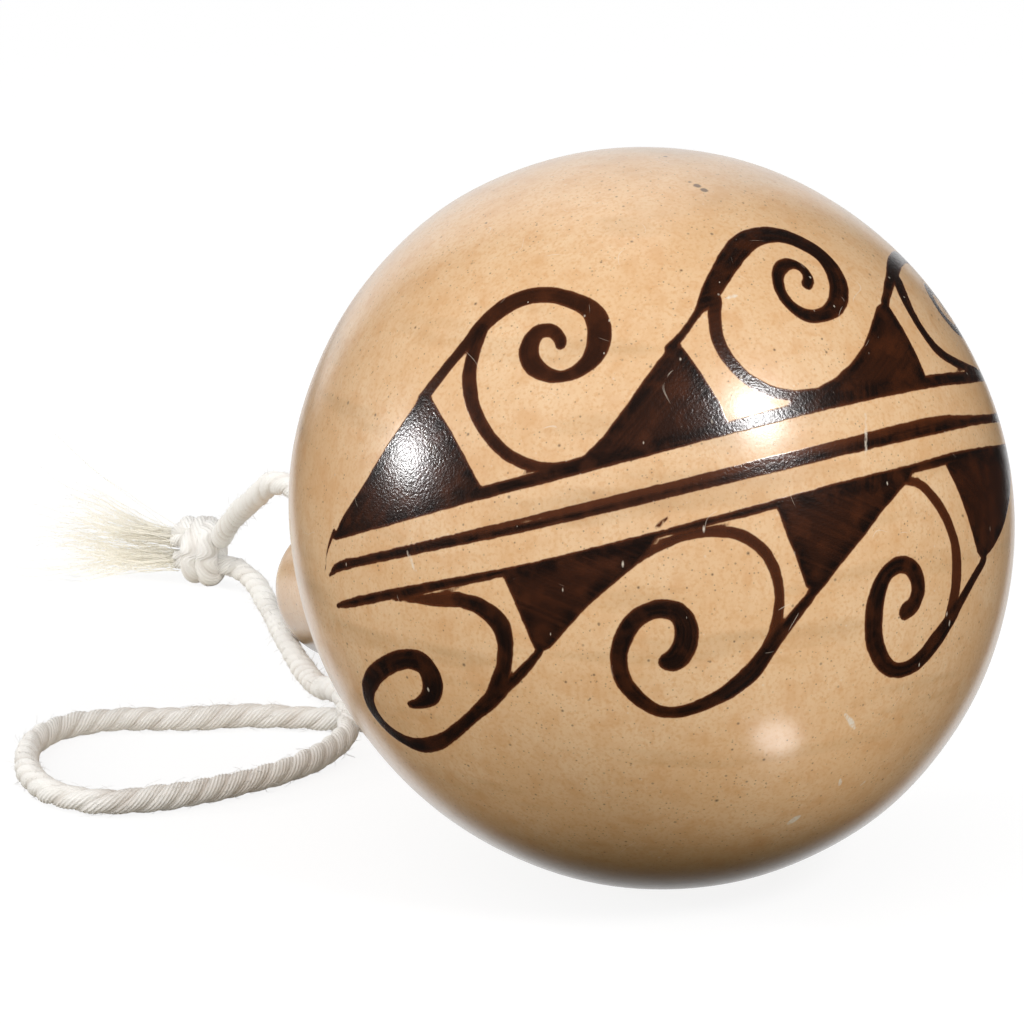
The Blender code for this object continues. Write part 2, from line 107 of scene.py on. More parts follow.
# Painted band, in millimetres on the ball unrolled: x along the band from the ball's front,
# y across it. A stroke is its paint load and its (x, y, brush width) points.
FULL, WORN, THIN = 1.0, 0.8, 0.5
BAND_STROKES = [
    # The three lines
    (FULL, [(-56.5, 6.4, 1.1), (-45, 6.6, 1.2), (-33, 6.9, 1.4), (-20, 7, 1.4), (-5, 7.3, 1.3),
        (5, 7.5, 1.5), (22, 7.3, 1.5), (32, 6.9, 1.5), (45, 6.8, 1.4), (58, 6.4, 1)]),
    (FULL, [(-59.6, 2.2, 0.2), (-57, 2.95, 1.1), (-52, 3, 1.15), (-40, 2.75, 1.15), (-30, 2.4, 1.05),
        (-20, 2.2, 0.9), (-10, 2.2, 0.9), (0, 2.2, 1), (10, 2.3, 1.2), (20, 2.3, 1.4), (30, 2, 1),
        (40, 1.8, 1.1), (58, 2, 0.7)]),
    (THIN, [(-57.5, 3.3, 0.4), (-50, 3.35, 0.45), (-35, 3.15, 0.6), (-25, 3.05, 0.7), (-15, 3, 0.75),
        (-5, 3, 0.8), (5, 3, 0.9), (15, 3.1, 1), (22, 3, 0.9), (28, 2.5, 0.7), (34, 2.2, 0.5)]),
    (FULL, [(-59.2, -1.15, 0.5), (-57, -1.15, 1), (-50, -1.2, 1.2), (-40, -1.5, 1.15), (-30, -1.75, 0.9),
        (-18, -1.65, 0.8), (-10, -1.55, 0.9), (-4, -1.5, 1), (5, -1.3, 1), (15, -1.3, 1), (22, -1.25, 1.2),
        (35, -1.7, 1.2), (46, -1.9, 1.1), (58, -2, 0.7)]),
    # Hooked flick at the band's left end, and a slip of the brush above the lower line
    (WORN, [(-56.6, 6.9, 0.7), (-58.4, 5.4, 0.45), (-59.7, 3.7, 0.3), (-60.6, 2.1, 0.12)]),
    (WORN, [(-16, -0.95, 0.2), (-15, -0.5, 0.45), (-14.1, 0, 0.2)]),
    # Upper scrolls, from the peak of their triangle to the eye of the scroll
    (WORN, [(-40, 18.6, 1.6), (-37, 21, 1.5), (-34, 23.3, 1.6), (-31, 25.6, 2.2), (-28, 27, 2.3),
        (-25, 27.5, 2.1), (-22, 27, 2.1), (-19, 25.5, 2.2), (-17, 23.6, 2.6), (-16.6, 21.5, 3),
        (-17.5, 19, 2.6), (-19.5, 17.4, 1.8), (-21.8, 17, 1.4), (-24, 17.9, 1.9), (-25.4, 19.8, 2.5),
        (-25.2, 21.6, 2.4), (-23.9, 22.75, 1.9), (-22.2, 22.4, 1.7), (-21.45, 21.2, 1.6),
        (-21.5, 20.7, 1.5)]),
    (FULL, [(-9.5, 17, 1.2), (-7, 18.7, 0.9), (-4.7, 20.5, 1), (-2.6, 22.2, 2.2), (0, 24.3, 2.6),
        (3, 26.4, 2.9), (6, 27.9, 2.9), (9, 28.5, 2.7), (12, 28.2, 2.7), (14.5, 26.8, 2.8),
        (16.3, 24.4, 2.9), (16.3, 22, 2.9), (15, 19.6, 2.7), (12.8, 17.7, 2.2), (10.2, 17, 1.7),
        (8, 17.4, 1.8), (6.7, 19, 1.6), (6.5, 20.8, 1.5), (7.4, 22.7, 1.6), (9, 23.8, 1.7),
        (10.7, 23.9, 1.6), (11.7, 22.8, 1.5), (11.4, 21.5, 1.5), (10.6, 20.9, 1.4)]),
    (FULL, [(21.5, 17, 1.1), (24, 18.5, 1.3), (27, 20, 1.5), (30, 21.2, 2), (33, 22.1, 2), (36, 22.6, 2),
        (40, 22.8, 1.9), (43.5, 22, 2.2), (46, 19.8, 2.5), (46.6, 17, 2.5), (45.6, 14.2, 2.3),
        (43, 12.6, 2), (39.5, 12.5, 1.7), (37, 13.5, 1.8), (36, 15.2, 1.8), (37, 17.2, 1.7),
        (39, 18.1, 1.6), (41, 17.6, 1.5), (41.6, 16.2, 1.4), (40.8, 15.3, 1.3)]),
    # Upper back curves, from the scroll's neck down to the line
    (WORN, [(-31.5, 24.6, 1.8), (-32.8, 21.8, 1.9), (-33.3, 19, 2), (-32.7, 15.5, 1.7), (-31.4, 12.7, 1.5),
        (-29.4, 10.1, 1.4), (-27, 8.4, 1.3), (-24.5, 7.6, 1.1), (-21.5, 7.6, 1)]),
    (WORN, [(-2.2, 21.4, 1.8), (-3.3, 19, 1.6), (-3.8, 16.5, 1.6), (-3.3, 14, 1.5), (-2, 11.7, 1.4),
        (0, 10, 1.3), (2.5, 9, 1.2), (5, 8.8, 1.1)]),
    (FULL, [(29, 20, 1.6), (27.2, 18, 2.1), (26.1, 15.5, 1.8), (26.1, 13, 1.7), (27, 10.8, 1.8),
        (28.8, 9.5, 1.6), (31.5, 8.5, 1.4), (35, 7.8, 1.2), (39, 7.3, 1)]),
    # Lower scrolls
    (FULL, [(-31.5, -10.8, 0.9), (-34, -12.3, 1.2), (-37, -13.8, 1.3), (-40, -15, 1.9), (-43, -16.2, 1.6),
        (-46, -17.3, 1.6), (-49, -18.2, 1.7), (-52.5, -18.75, 2), (-56, -18.6, 2.1), (-59, -17.4, 1.9),
        (-61.1, -15.5, 2), (-61.6, -13.3, 2.4), (-60.3, -11.4, 2.3), (-57, -9.7, 2.4), (-53, -8.7, 2.3),
        (-49.5, -8.5, 2.4), (-47.2, -9.4, 3), (-46.8, -11.2, 3.2), (-48.2, -13, 2.4), (-50.5, -13.65, 1.5),
        (-52.6, -13.65, 0.9)]),
    (FULL, [(0, -10.9, 1), (-2.2, -12.6, 1.3), (-4.4, -14.4, 1.5), (-6.5, -16.2, 1.8), (-9, -18.3, 2.2),
        (-12, -19.8, 1.9), (-15, -20.6, 1.6), (-18, -20.9, 1.5), (-20.5, -20.2, 1.5), (-22.3, -18.3, 1.9),
        (-23.3, -15.8, 2), (-23, -13.2, 2), (-21.6, -10.9, 2.1), (-19.8, -9.5, 2), (-17.8, -9.1, 2),
        (-15.7, -9.9, 2.3), (-15.1, -11.6, 2.6), (-15.7, -13.6, 2.7), (-17.1, -14.9, 2.6),
        (-18, -14.9, 2)]),
    (FULL, [(27, -12.9, 1.2), (24.5, -14.5, 1.4), (22, -16.5, 1.6), (19.5, -18.7, 2.2), (17, -20.6, 2.6),
        (14.5, -22.2, 2.3), (12, -22.7, 1.9), (9.8, -22.2, 1.9), (8, -20.6, 2.3), (6.9, -18.3, 2.5),
        (6.8, -15.7, 2.6), (7.4, -13.3, 2.4), (8.6, -11.6, 2), (10.3, -10.85, 1.9), (12, -11.2, 2),
        (13.3, -12.6, 2.2), (13.5, -14.2, 2.3), (12.7, -15.6, 2.1), (11.5, -16, 2.1)]),
    # Lower back curves
    (THIN, [(-48, -1.9, 0.4), (-45, -2.3, 0.9), (-42, -2.9, 1.5), (-39, -3.4, 1.8)]),
    (FULL, [(-39, -3.4, 1.7), (-36.6, -4.7, 2), (-35, -6.8, 2.4), (-35.1, -9, 2), (-36.2, -11.3, 1.9),
        (-38, -13.4, 2), (-39.5, -14.6, 1.8)]),
    (THIN, [(-19, -4, 0.6), (-16, -2.9, 1), (-13, -2.4, 1.1), (-10, -2.7, 1.2), (-7.5, -3.6, 1.3),
        (-5.5, -5.6, 1.3), (-4.6, -8, 1.3), (-4.5, -10.5, 1.2), (-5, -12.8, 1.3), (-5.9, -14.8, 1.4),
        (-6.8, -16, 1.4)]),
    (THIN, [(13.5, -2.5, 0.8), (15, -2.9, 1.1), (16.8, -4.5, 1.3), (18.8, -7.2, 1.4), (20.1, -10, 1.6),
        (20.5, -12.8, 2), (20.3, -15.5, 2), (19.6, -17.8, 2)]),
]
BAND_TRIANGLES = [
    [(-57, 6), (-55, 7.9), (-50, 11), (-45, 15), (-40.2, 19), (-38.7, 18.6), (-36, 14.2), (-34, 9.8),
     (-32.8, 6.6), (-45, 6.1)],
    [(-25, 6.5), (-21.5, 8), (-19, 9.5), (-16, 12), (-12, 15.4), (-9.5, 17.3), (-8, 17.1), (-7, 14),
     (-6, 10.3), (-5.7, 6.8)],
    [(1, 7.2), (2, 9.1), (5, 9.2), (8, 9.9), (11, 11.1), (14, 12.8), (17, 15.1), (19.5, 16.8), (21.3, 17.2),
     (22, 16.6), (22.1, 12), (21.9, 7.2)],
    [(-33, -1.6), (-15.5, -1.6), (-16.5, -2.6), (-19, -4.4), (-22, -5.8), (-25, -7.4), (-27.5, -9),
     (-30, -10.6), (-31.9, -11), (-32.1, -8.5), (-32.5, -5)],
    [(-3.1, -1.4), (14.7, -1.2), (14.7, -1.9), (13, -2.8), (11, -3.9), (9, -5), (6, -7.2), (3, -9.2),
     (0.5, -11.2), (-0.8, -11.3), (-1.5, -10.5), (-1.9, -8), (-2.6, -5)],
    [(20, -1.4), (46, -1.8), (45.5, -2.2), (41, -4.8), (37, -7.6), (33, -10.2), (29.5, -12), (26.3, -12.9),
     (25, -11.9), (23.5, -8.8), (21.8, -5)],
]
# Chips and scratches in the slip, the same way
WEAR_MARKS = [
    [(-3.7, -41.3, 0.5), (-2.6, -40.8, 1.1), (-1.6, -40.4, 0.6)],
    [(3.2, -26.3, 0.3), (4.4, -27.6, 0.7), (5.3, -28.6, 0.3)],
    [(4.7, -35.6, 0.4), (5, -36.3, 0.6)],
    [(10.2, -37.6, 0.3), (10.9, -37.2, 0.4)],
    [(-44.2, 2.9, 0.3), (-43.8, 0.9, 0.36), (-43.6, 0.4, 0.3)],
    [(10.3, 5.4, 0.25), (9.4, 3.3, 0.3), (8.7, 1.2, 0.25)],
    [(-0.9, 21.3, 0.3), (0.6, 21.4, 0.4)],
]


def linear(code):
    """Linear RGBA of an sRGB hex colour: c / 12.92 below 0.04045, ((c + 0.055) / 1.055) ** 2.4 above."""
    share = np.array([int(code[i:i + 2], 16) for i in (0, 2, 4)]) / 255
    light = np.where(share <= 0.04045, share / 12.92, ((share + 0.055) / 1.055) ** 2.4)
    return (*light.tolist(), 1.0)


WHITE = linear("FFFFFF")


def number(name, description, default, **settings):
    """Number property; the settings give its unit, subtype or limits."""
    return FloatProperty(name=name, description=description, default=default, **settings)


def length(name, description, default):
    """Length property in metres."""
    return number(name, description, default, unit="LENGTH", precision=5)


def angle(name, description, degrees):
    """Angle property."""
    return number(name, description, math.radians(degrees), subtype="ANGLE")


def numbers(name, description, default, **settings):
    """Property of several numbers."""
    return FloatVectorProperty(name=name, description=description, default=default, **settings)


def colour(name, description, code):
    """Colour property from a hex value."""
    return numbers(name, description, linear(code), size=4, subtype="COLOR", min=0, max=1)


def whole(name, description, default):
    """Whole number property."""
    return IntProperty(name=name, description=description, default=default, min=1)


class RattleBody(bpy.types.PropertyGroup):
    """Sizes of the clay ball and handle."""

    ball_long: length("Ball, widest", "Widest way across the ball, square to the handle", 0.0837)
    ball_short: length("Ball, narrowest", "Narrowest way across, square to the handle", 0.0802)
    ball_axial: length("Ball, along", "Ball's size along the handle's axis", 0.0820)
    ball_roll: angle("Ball roll", "Lean of the ball's widest way", 19.6)
    lean: angle("Lean", "Handle's lean below level, lying on the ball and on the handle's end", 16.278)
    wall: length("Wall", "Thinnest place of the wall round the chamber", 0.0041)
    wobble: length("Hand wobble", "How far the hand-shaped ball strays from a true oval", 0.00014)
    flat_edge: length("Worn edge", "Softness of the edge round the resting flats", 0.0003)
    handle_length: length("Handle", "Back of the ball to the centre of the round end", 0.0714)
    base_radius: length("Handle base", "Handle's radius at the ball", 0.0105)
    waist_radius: length("Handle waist", "Handle's radius where it is thinnest", 0.0090)
    waist_from_end: length("Waist from end", "Thinnest place to the centre of the round end", 0.0344)
    end_radius: length("Handle end", "Radius of the handle's round end", 0.0100)
    neck_radius: length("Neck fillet", "Radius of the luting coil round the handle's base", 0.0165)
    neck_top: length("Neck height", "Top of the luting coil past the ball's back", 0.0064)
    eye_diameter: length("Eye", "Diameter of the pierced eye", 0.0056)
    eye_flare: length("Eye flare", "How far the eye's mouth opens out", 0.0008)
    eye_from_end: length("Eye from end", "Eye to the centre of the round end", 0.0145)
    eye_slant: angle("Eye slant", "Eye's lean from upright", 38)
    band_tilt: angle("Band tilt", "Turn of the painted band about the handle's axis", -8.5)


class RattleCord(bpy.types.PropertyGroup):
    """Sizes of the cotton cord, its knot and its frayed ends."""

    diameter: length("Cord", "Diameter of the twisted cord", 0.0032)
    lay: length("Lay", "Length of one turn of the plies", 0.0100)
    yarns: whole("Yarns", "Yarns that show in each ply", 5)
    groove: number("Ply groove", "Depth of the grooves between the plies", 0.24, subtype="FACTOR",
                   min=0, max=1)
    ring_step: length("Ring step", "Distance between the rings of the cord's surface", 0.0004)
    knot_centre: numbers("Knot", "Middle of the knot", (-0.0066, 0.1582, 0.0053), subtype="XYZ",
                         unit="LENGTH")
    knot_heading: angle("Knot heading", "Way the ends leave the knot, from +X towards +Y", 143)
    frayed_length: length("Frayed ends", "Length of the frayed ends", 0.0225)
    fibres: whole("Fibres", "Fibres in each frayed end", 140)


class RattleColours(bpy.types.PropertyGroup):
    """Colours of the finishes."""

    slip: colour("Slip", "Polished clay slip", "E5BC8E")
    slip_pale: colour("Pale slip", "Slip where it lies thickest", "ECC9A0")
    slip_deep: colour("Deep slip", "Slip in its warmer clouds", "D8A26C")
    # Smudges, and the painted shade that darkens the slip's underside
    smudge_and_shade: colour("Smoke", "Smudges and soiled places on the slip", "8F6E40")
    speck: colour("Speck", "Grit and pits in the slip", "4F3A26")
    chip: colour("Chip", "Clay under a chip in the slip", "EBDFCD")
    paint_dark: colour("Paint", "Mineral paint where it lies thick", "170A05")
    paint_thin: colour("Thin paint", "Mineral paint where it lies thin", "602F13")
    raw_clay: colour("Raw clay", "Unslipped fired clay", "B98A60")
    cotton: colour("Cotton", "Cotton fibres in the light", "FAF8F4")
    cotton_combed: colour("Combed cotton", "Loose fibres of the frayed ends", "FFFDF7")
    # Painted shade and dust in the cord's grooves
    cotton_shade: colour("Cotton grooves", "Dust and shade between the yarns", "D6CCC2")
    floor: colour("Floor", "Paper on the table", "E8E4DA")
    floor_gloss: colour("Floor in gloss", "Dark part of the table in the gloss", "272727")
    shadow: colour("Shadow", "How much of the table's light a shadow takes, to the eye", "7C7C7C")
    # Painted shade: a dark olive card that only the bounce sees, darkening and tinting the ball's underside
    shade_card: colour("Card", "Dull card under the ball", "6A6040")


class RattleStage(bpy.types.PropertyGroup):
    """Camera, floor and light."""

    view_turn: angle("View turn", "Camera's turn round the rattle, from straight in front", -20.75)
    view_rise: angle("View rise", "Camera's height angle", 12)
    view_depth: length("View depth", "Camera to the plane of the ball's centre", 0.450)
    focal: number("Focal length", "Lens on a 36 mm wide sensor", 140.876, unit="CAMERA")
    ball_px: numbers("Ball in image", "Ball's centre in the image, in pixels", (650.26, 518.23), size=2)
    image_px: whole("Image", "Width and height of the image, in pixels", 1024)
    front_power: number("Front softbox", "Power of the front light", 3.2, unit="POWER")
    side_power: number("Side strip", "Power of the left light", 1.5, unit="POWER")
    pool_power: number("Light pool", "Power of the light that lies on the table", 0.0019, unit="POWER")
    cord_power: number("Cord light", "Power of the light on the cotton alone", 0.75, unit="POWER")
    room_light: number("Room", "Mean light of the room", 0.81)
    room_lean: numbers("Room lean", "How much brighter the room is towards a side", (-0.62, -0.44, -0.30),
                       subtype="XYZ")
    room_gloss: number("Room in gloss", "Light of the room's dark part in the gloss", 0.02)
    floor_glow: number("Floor glow", "What the table lacks of white, to the eye", 0.87)


# Even steps that stop short of the end, where a round closes or others go on
open_steps = partial(np.linspace, endpoint=False)


def unit(vectors):
    """Vectors divided by their lengths."""
    return vectors / np.linalg.norm(vectors, axis=-1, keepdims=True)


def circle(angles, first, second):
    """Points of a circle: cos(angle) first + sin(angle) second."""
    return np.cos(angles)[..., None] * first + np.sin(angles)[..., None] * second


def globe(turn, rise):
    """Unit vectors of a sphere, turned about its pole and risen towards it."""
    return np.stack([np.cos(rise) * np.cos(turn), np.cos(rise) * np.sin(turn), np.sin(rise)], -1)


def run_of(path):
    """Distance of each point of a path from its start."""
    return np.r_[0, np.cumsum(np.linalg.norm(np.diff(path, axis=0), axis=1))]


def hermite(t):
    """Weights of a cubic Hermite piece: its start, the slope there, its stop, the slope there."""
    return 2 * t ** 3 - 3 * t ** 2 + 1, t ** 3 - 2 * t ** 2 + t, 3 * t ** 2 - 2 * t ** 3, t ** 3 - t ** 2


def smooth_route(points, spacing, steps=24):
    """Even points on a centripetal Catmull-Rom curve.

    Between two points runs a cubic Hermite piece, whose end slopes come from its neighbours with
    each span weighted by the square root of its length; the ends are mirrored.
    """
    p = np.asarray(points, float)
    p = np.vstack([2 * p[0] - p[1], p, 2 * p[-1] - p[-2]])
    before, start, stop, after = p[:-3], p[1:-2], p[2:-1], p[3:]
    roots = np.sqrt(np.linalg.norm(np.diff(p, axis=0), axis=1, keepdims=True))
    lead, span, trail = roots[:-2], roots[1:-1], roots[2:]
    leave = span * ((start - before) / lead - (stop - before) / (lead + span) + (stop - start) / span)
    arrive = span * ((stop - start) / span - (after - start) / (span + trail) + (after - stop) / trail)
    weights = hermite((np.arange(steps) / steps)[None, :, None])
    fine = sum(share[:, None] * weight for share, weight in zip((start, leave, stop, arrive), weights))
    fine = np.vstack([fine.reshape(-1, p.shape[1]), p[-2]])
    along = run_of(fine)
    even = np.linspace(0, along[-1], max(2, round(along[-1] / spacing)) + 1)
    return np.column_stack([np.interp(even, along, column) for column in fine.T])


def rest_on_table(points, softness):
    """Press points to the table: z becomes (z + sqrt(z squared + softness squared)) / 2."""
    pressed = points.copy()
    z = pressed[..., 2]
    pressed[..., 2] = (z + np.sqrt(z ** 2 + softness ** 2)) / 2
    return pressed


def above_table(points, least=0.01 * MM):
    """Lift points that would sink into the table: z becomes the larger of z and the least height."""
    points[..., 2] = np.maximum(points[..., 2], least)
    return points


def closed_skins(name, stacks, *materials):
    """Mesh object of closed skins, with its materials.

    A stack is an array ([skins,] rings, points round, 3). Quads join neighbouring rings, and a fan to
    the mean of the end ring closes each end. Points run anticlockwise seen from the last ring.
    """
    verts, quads, fans, base = [], [], [], 0
    for stack in stacks:
        stack = stack.reshape(-1, *stack.shape[-3:])
        here = base + np.arange(stack.size // 3).reshape(stack.shape[:3])
        after = np.roll(here, -1, axis=2)
        hub = base + here.size + 2 * np.arange(len(stack))[:, None] + 0 * here[:, 0]
        verts += [stack.reshape(-1, 3), stack[:, [0, -1]].mean(axis=2).reshape(-1, 3)]
        quads.append(np.stack([here[:, :-1], after[:, :-1], after[:, 1:], here[:, 1:]], -1).reshape(-1, 4))
        fans += [np.stack([hub, after[:, 0], here[:, 0]], -1).reshape(-1, 3),
                 np.stack([hub + 1, here[:, -1], after[:, -1]], -1).reshape(-1, 3)]
        base += here.size + 2 * len(stack)
    verts, quads, fans = np.vstack(verts), np.vstack(quads), np.vstack(fans)
    mesh = bpy.data.meshes.new(name)
    mesh.vertices.add(len(verts))
    mesh.vertices.foreach_set("co", verts.astype(np.float32).ravel())
    mesh.loops.add(quads.size + fans.size)
    mesh.loops.foreach_set("vertex_index", np.r_[quads.ravel(), fans.ravel()].astype(np.int32))
    mesh.polygons.add(len(quads) + len(fans))
    starts = np.r_[np.arange(len(quads)) * 4, quads.size + np.arange(len(fans)) * 3]
    mesh.polygons.foreach_set("loop_start", starts.astype(np.int32))
    mesh.update(calc_edges=True)
    mesh.shade_smooth()
    for material in materials:
        mesh.materials.append(material)
    piece = bpy.data.objects.new(name, mesh)
    bpy.context.scene.collection.objects.link(piece)
    return piece


def add_attribute(piece, name, values, rest):
    """Number or vector on each point of a piece; the points past the given ones take the rest value."""
    full = np.full((len(piece.data.vertices), *values.shape[1:]), rest, np.float32)
    full[:len(values)] = values
    kind, key = ("FLOAT", "value") if values.ndim == 1 else ("FLOAT_VECTOR", "vector")
    piece.data.attributes.new(name, kind, "POINT").data.foreach_set(key, full.ravel())


def settle(piece, body, slot, *nodes):
    """Ride a piece on its body, in the place of CAD nodes. The slot is not used."""
    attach(piece, body)
    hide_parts(*nodes)


def handle_axes(body):
    """Unit vectors of the lying handle: across, along it from the ball, and up from it."""
    low, high = math.sin(body.lean), math.cos(body.lean)
    return np.array([1.0, 0.0, 0.0]), np.array([0.0, high, -low]), np.array([0.0, low, high])


def ball_axes(body):
    """The ball's own axes as rows, narrowest, along the handle and widest, and its half sizes."""
    across, along, up = handle_axes(body)
    turn = body.ball_roll
    rows = np.array([math.cos(turn) * across + math.sin(turn) * up, along,
                     math.cos(turn) * up - math.sin(turn) * across])
    return rows, np.array([body.ball_short, body.ball_axial, body.ball_long]) / 2


def ball_surface(body, ways):
    """Points of the hand-shaped oval: centre + way / |way in half sizes|, plus slow swells of the hand.

    A swell is a product of two sines of the way; a quicker one has six tenths of the first one's height.
    """
    rows, semi = ball_axes(body)
    reach = 1 / np.linalg.norm(ways @ rows.T / semi, axis=-1)
    x, y, z = np.moveaxis(ways, -1, 0)
    quick = 0.6
    swell = (np.sin(5.3 * x + 2.1 * z + 0.4) * np.sin(4.1 * y - 3.3 * z + 1.1)
             + quick * np.sin(9.7 * z + 3.1 * x) * np.sin(8.3 * x - 5.9 * y + 2.0))
    return BALL_CENTRE + ways * (reach + body.wobble * swell / (1 + quick))[..., None]


def handle_radius(body, reach):
    """Handle's radius at a reach from the ball's centre: half-cosine easing from base to waist to end."""
    end = body.ball_axial / 2 + body.handle_length
    base = body.ball_axial / 2 + body.neck_top
    waist = end - body.waist_from_end
    to_waist = np.clip((reach - base) / (waist - base), 0, 1)
    to_end = np.clip((reach - waist) / (end - waist), 0, 1)
    return (body.base_radius
            + (body.waist_radius - body.base_radius) * (1 - np.cos(math.pi * to_waist)) / 2
            + (body.end_radius - body.waist_radius) * (1 - np.cos(math.pi * to_end)) / 2)


def eye_line(body):
    """Middle of the pierced eye, its way from the lower to the upper mouth, and half its length."""
    along = handle_axes(body)[1]
    reach = body.ball_axial / 2 + body.handle_length - body.eye_from_end
    way = np.array([-math.sin(body.eye_slant), 0.0, math.cos(body.eye_slant)])
    return BALL_CENTRE + along * reach, way, handle_radius(body, np.array(reach))


def stroke_field(spots, points, step=0.25):
    """Signed distance to a brush stroke and the place in it, along and across its line.

    The distance is the least of (distance to a point of the line - half the stroke's width there).
    """
    line = smooth_route(points, step).astype(np.float32)
    middle, width = line[:, :2], line[:, 2]
    gap = np.hypot(spots[:, None, 0] - middle[:, 0], spots[:, None, 1] - middle[:, 1]) - width / 2
    nearest = gap.argmin(axis=1)
    heading = unit(np.gradient(middle, axis=0))[nearest]
    away = spots - middle[nearest]
    across = heading[:, 0] * away[:, 1] - heading[:, 1] * away[:, 0]
    return gap.min(axis=1), np.column_stack([nearest * step, across])


def fill_field(spots, corners):
    """Signed distance to a filled outline and the place in it, along and across the brush's way.

    The distance is the least one to a side, negative inside by the even-odd rule. The brush goes from
    the outline's first corner to its middle one.
    """
    start = np.array(corners, np.float32)
    stop = np.roll(start, -1, axis=0)
    side = stop - start
    away = spots[:, None] - start[None]
    share = np.clip((away * side).sum(-1) / (side ** 2).sum(-1), 0, 1)
    gap = np.linalg.norm(away - share[..., None] * side, axis=-1).min(axis=1)
    y = spots[:, None, 1]
    spans = (start[None, :, 1] > y) != (stop[None, :, 1] > y)
    cross = start[:, 0] + (y - start[:, 1]) * side[:, 0] / np.where(side[:, 1] == 0, 1e-9, side[:, 1])
    inside = (spans & (spots[:, None, 0] < cross)).sum(axis=1) % 2 == 1
    heading = unit(start[len(start) // 2] - start[0])
    return np.where(inside, -gap, gap), spots @ np.array([heading, [-heading[1], heading[0]]]).T


def paint_fields(spots):
    """Distance to the paint, how much lies there, the place in the stroke, and distance to worn marks.

    All in millimetres. Strokes that overlap add up: what shows through is the product of what shows
    through each. A fill is thinner inside than along its rim. The place's third number keeps each
    stroke's bristle marks apart from the others'.
    """
    reach, soft_edge, rim, apart = 4.0, 0.5, 0.8, 3.7
    edge = np.full(len(spots), reach, np.float32)
    bare = np.ones(len(spots), np.float32)
    brush = np.zeros((len(spots), 3), np.float32)
    wear = np.full(len(spots), reach, np.float32)
    shapes = [(edge, load, 0.0, points, stroke_field) for load, points in BAND_STROKES]
    shapes += [(edge, FULL, 0.18, corners, fill_field) for corners in BAND_TRIANGLES]
    shapes += [(wear, 0, 0.0, points, stroke_field) for points in WEAR_MARKS]
    for order, (field, load, thinner, points, measure) in enumerate(shapes):
        outline = np.array(points, np.float32)[:, :2]
        within = (spots > outline.min(0) - reach) & (spots < outline.max(0) + reach)
        near = np.flatnonzero(np.all(within, axis=1))
        gap, place = measure(spots[near], points)
        closer = gap < field[near]
        field[near[closer]] = gap[closer]
        brush[near[closer]] = np.column_stack([place[closer], np.full(closer.sum(), apart * order)])
        laid = load - thinner * np.clip(-gap - rim, 0, 1)
        bare[near] *= 1 - laid * np.clip(0.5 - gap / soft_edge, 0, 1)
    return edge, 1 - bare, brush, wear


def set_inputs(node, inputs):
    """Link or set a node's inputs."""
    for key, value in inputs.items():
        if isinstance(value, bpy.types.NodeSocket):
            node.id_data.links.new(value, node.inputs[key])
        else:
            node.inputs[key].default_value = value


def add_node(tree, kind, *inputs, more=None, out=0, **settings):
    """Add a shader node with its settings, its first inputs in order and more by key; give one output."""
    node = tree.nodes.new("ShaderNode" + kind)
    for key, value in settings.items():
        setattr(node, key, value)
    set_inputs(node, {**dict(enumerate(inputs)), **(more or {})})
    return node.outputs[out]


def new_material(name):
    """New material, what adds nodes to it, its Principled shader, and Object coordinates in millimetres."""
    material = bpy.data.materials.new(name)
    material.use_nodes = True
    add = partial(add_node, material.node_tree)
    mm = add("Mapping", add("TexCoord", out="Object"), more={"Scale": (1 / MM,) * 3})
    return material, add, material.node_tree.nodes["Principled BSDF"], mm


def shared_material(name, make, *settings):
    """A finish that several pieces share, made once by its function."""
    return bpy.data.materials.get(name) or make(name, *settings)


def patches(add, place, size_mm, detail, low, high, least, most):
    """Soft patches of a size: from the least share to the most where a noise goes from low to high."""
    noise = add("TexNoise", place, more={"Scale": 1 / size_mm, "Detail": detail})
    return add("MapRange", noise, low, high, least, most)


def specks(add, place, cell_mm, picked_from, widest, most):
    """One speck, of up to widest x cell, in each cell whose lot is picked, fading from its middle."""
    off = add("TexVoronoi", place, more={"Scale": 1 / cell_mm}, out="Distance")
    lot = add("SeparateColor", off.node.outputs["Color"])
    radius = add("MapRange", lot, picked_from, 1.0, 0.0, widest)
    return add("MapRange", off, radius, 0.0, 0.0, most)


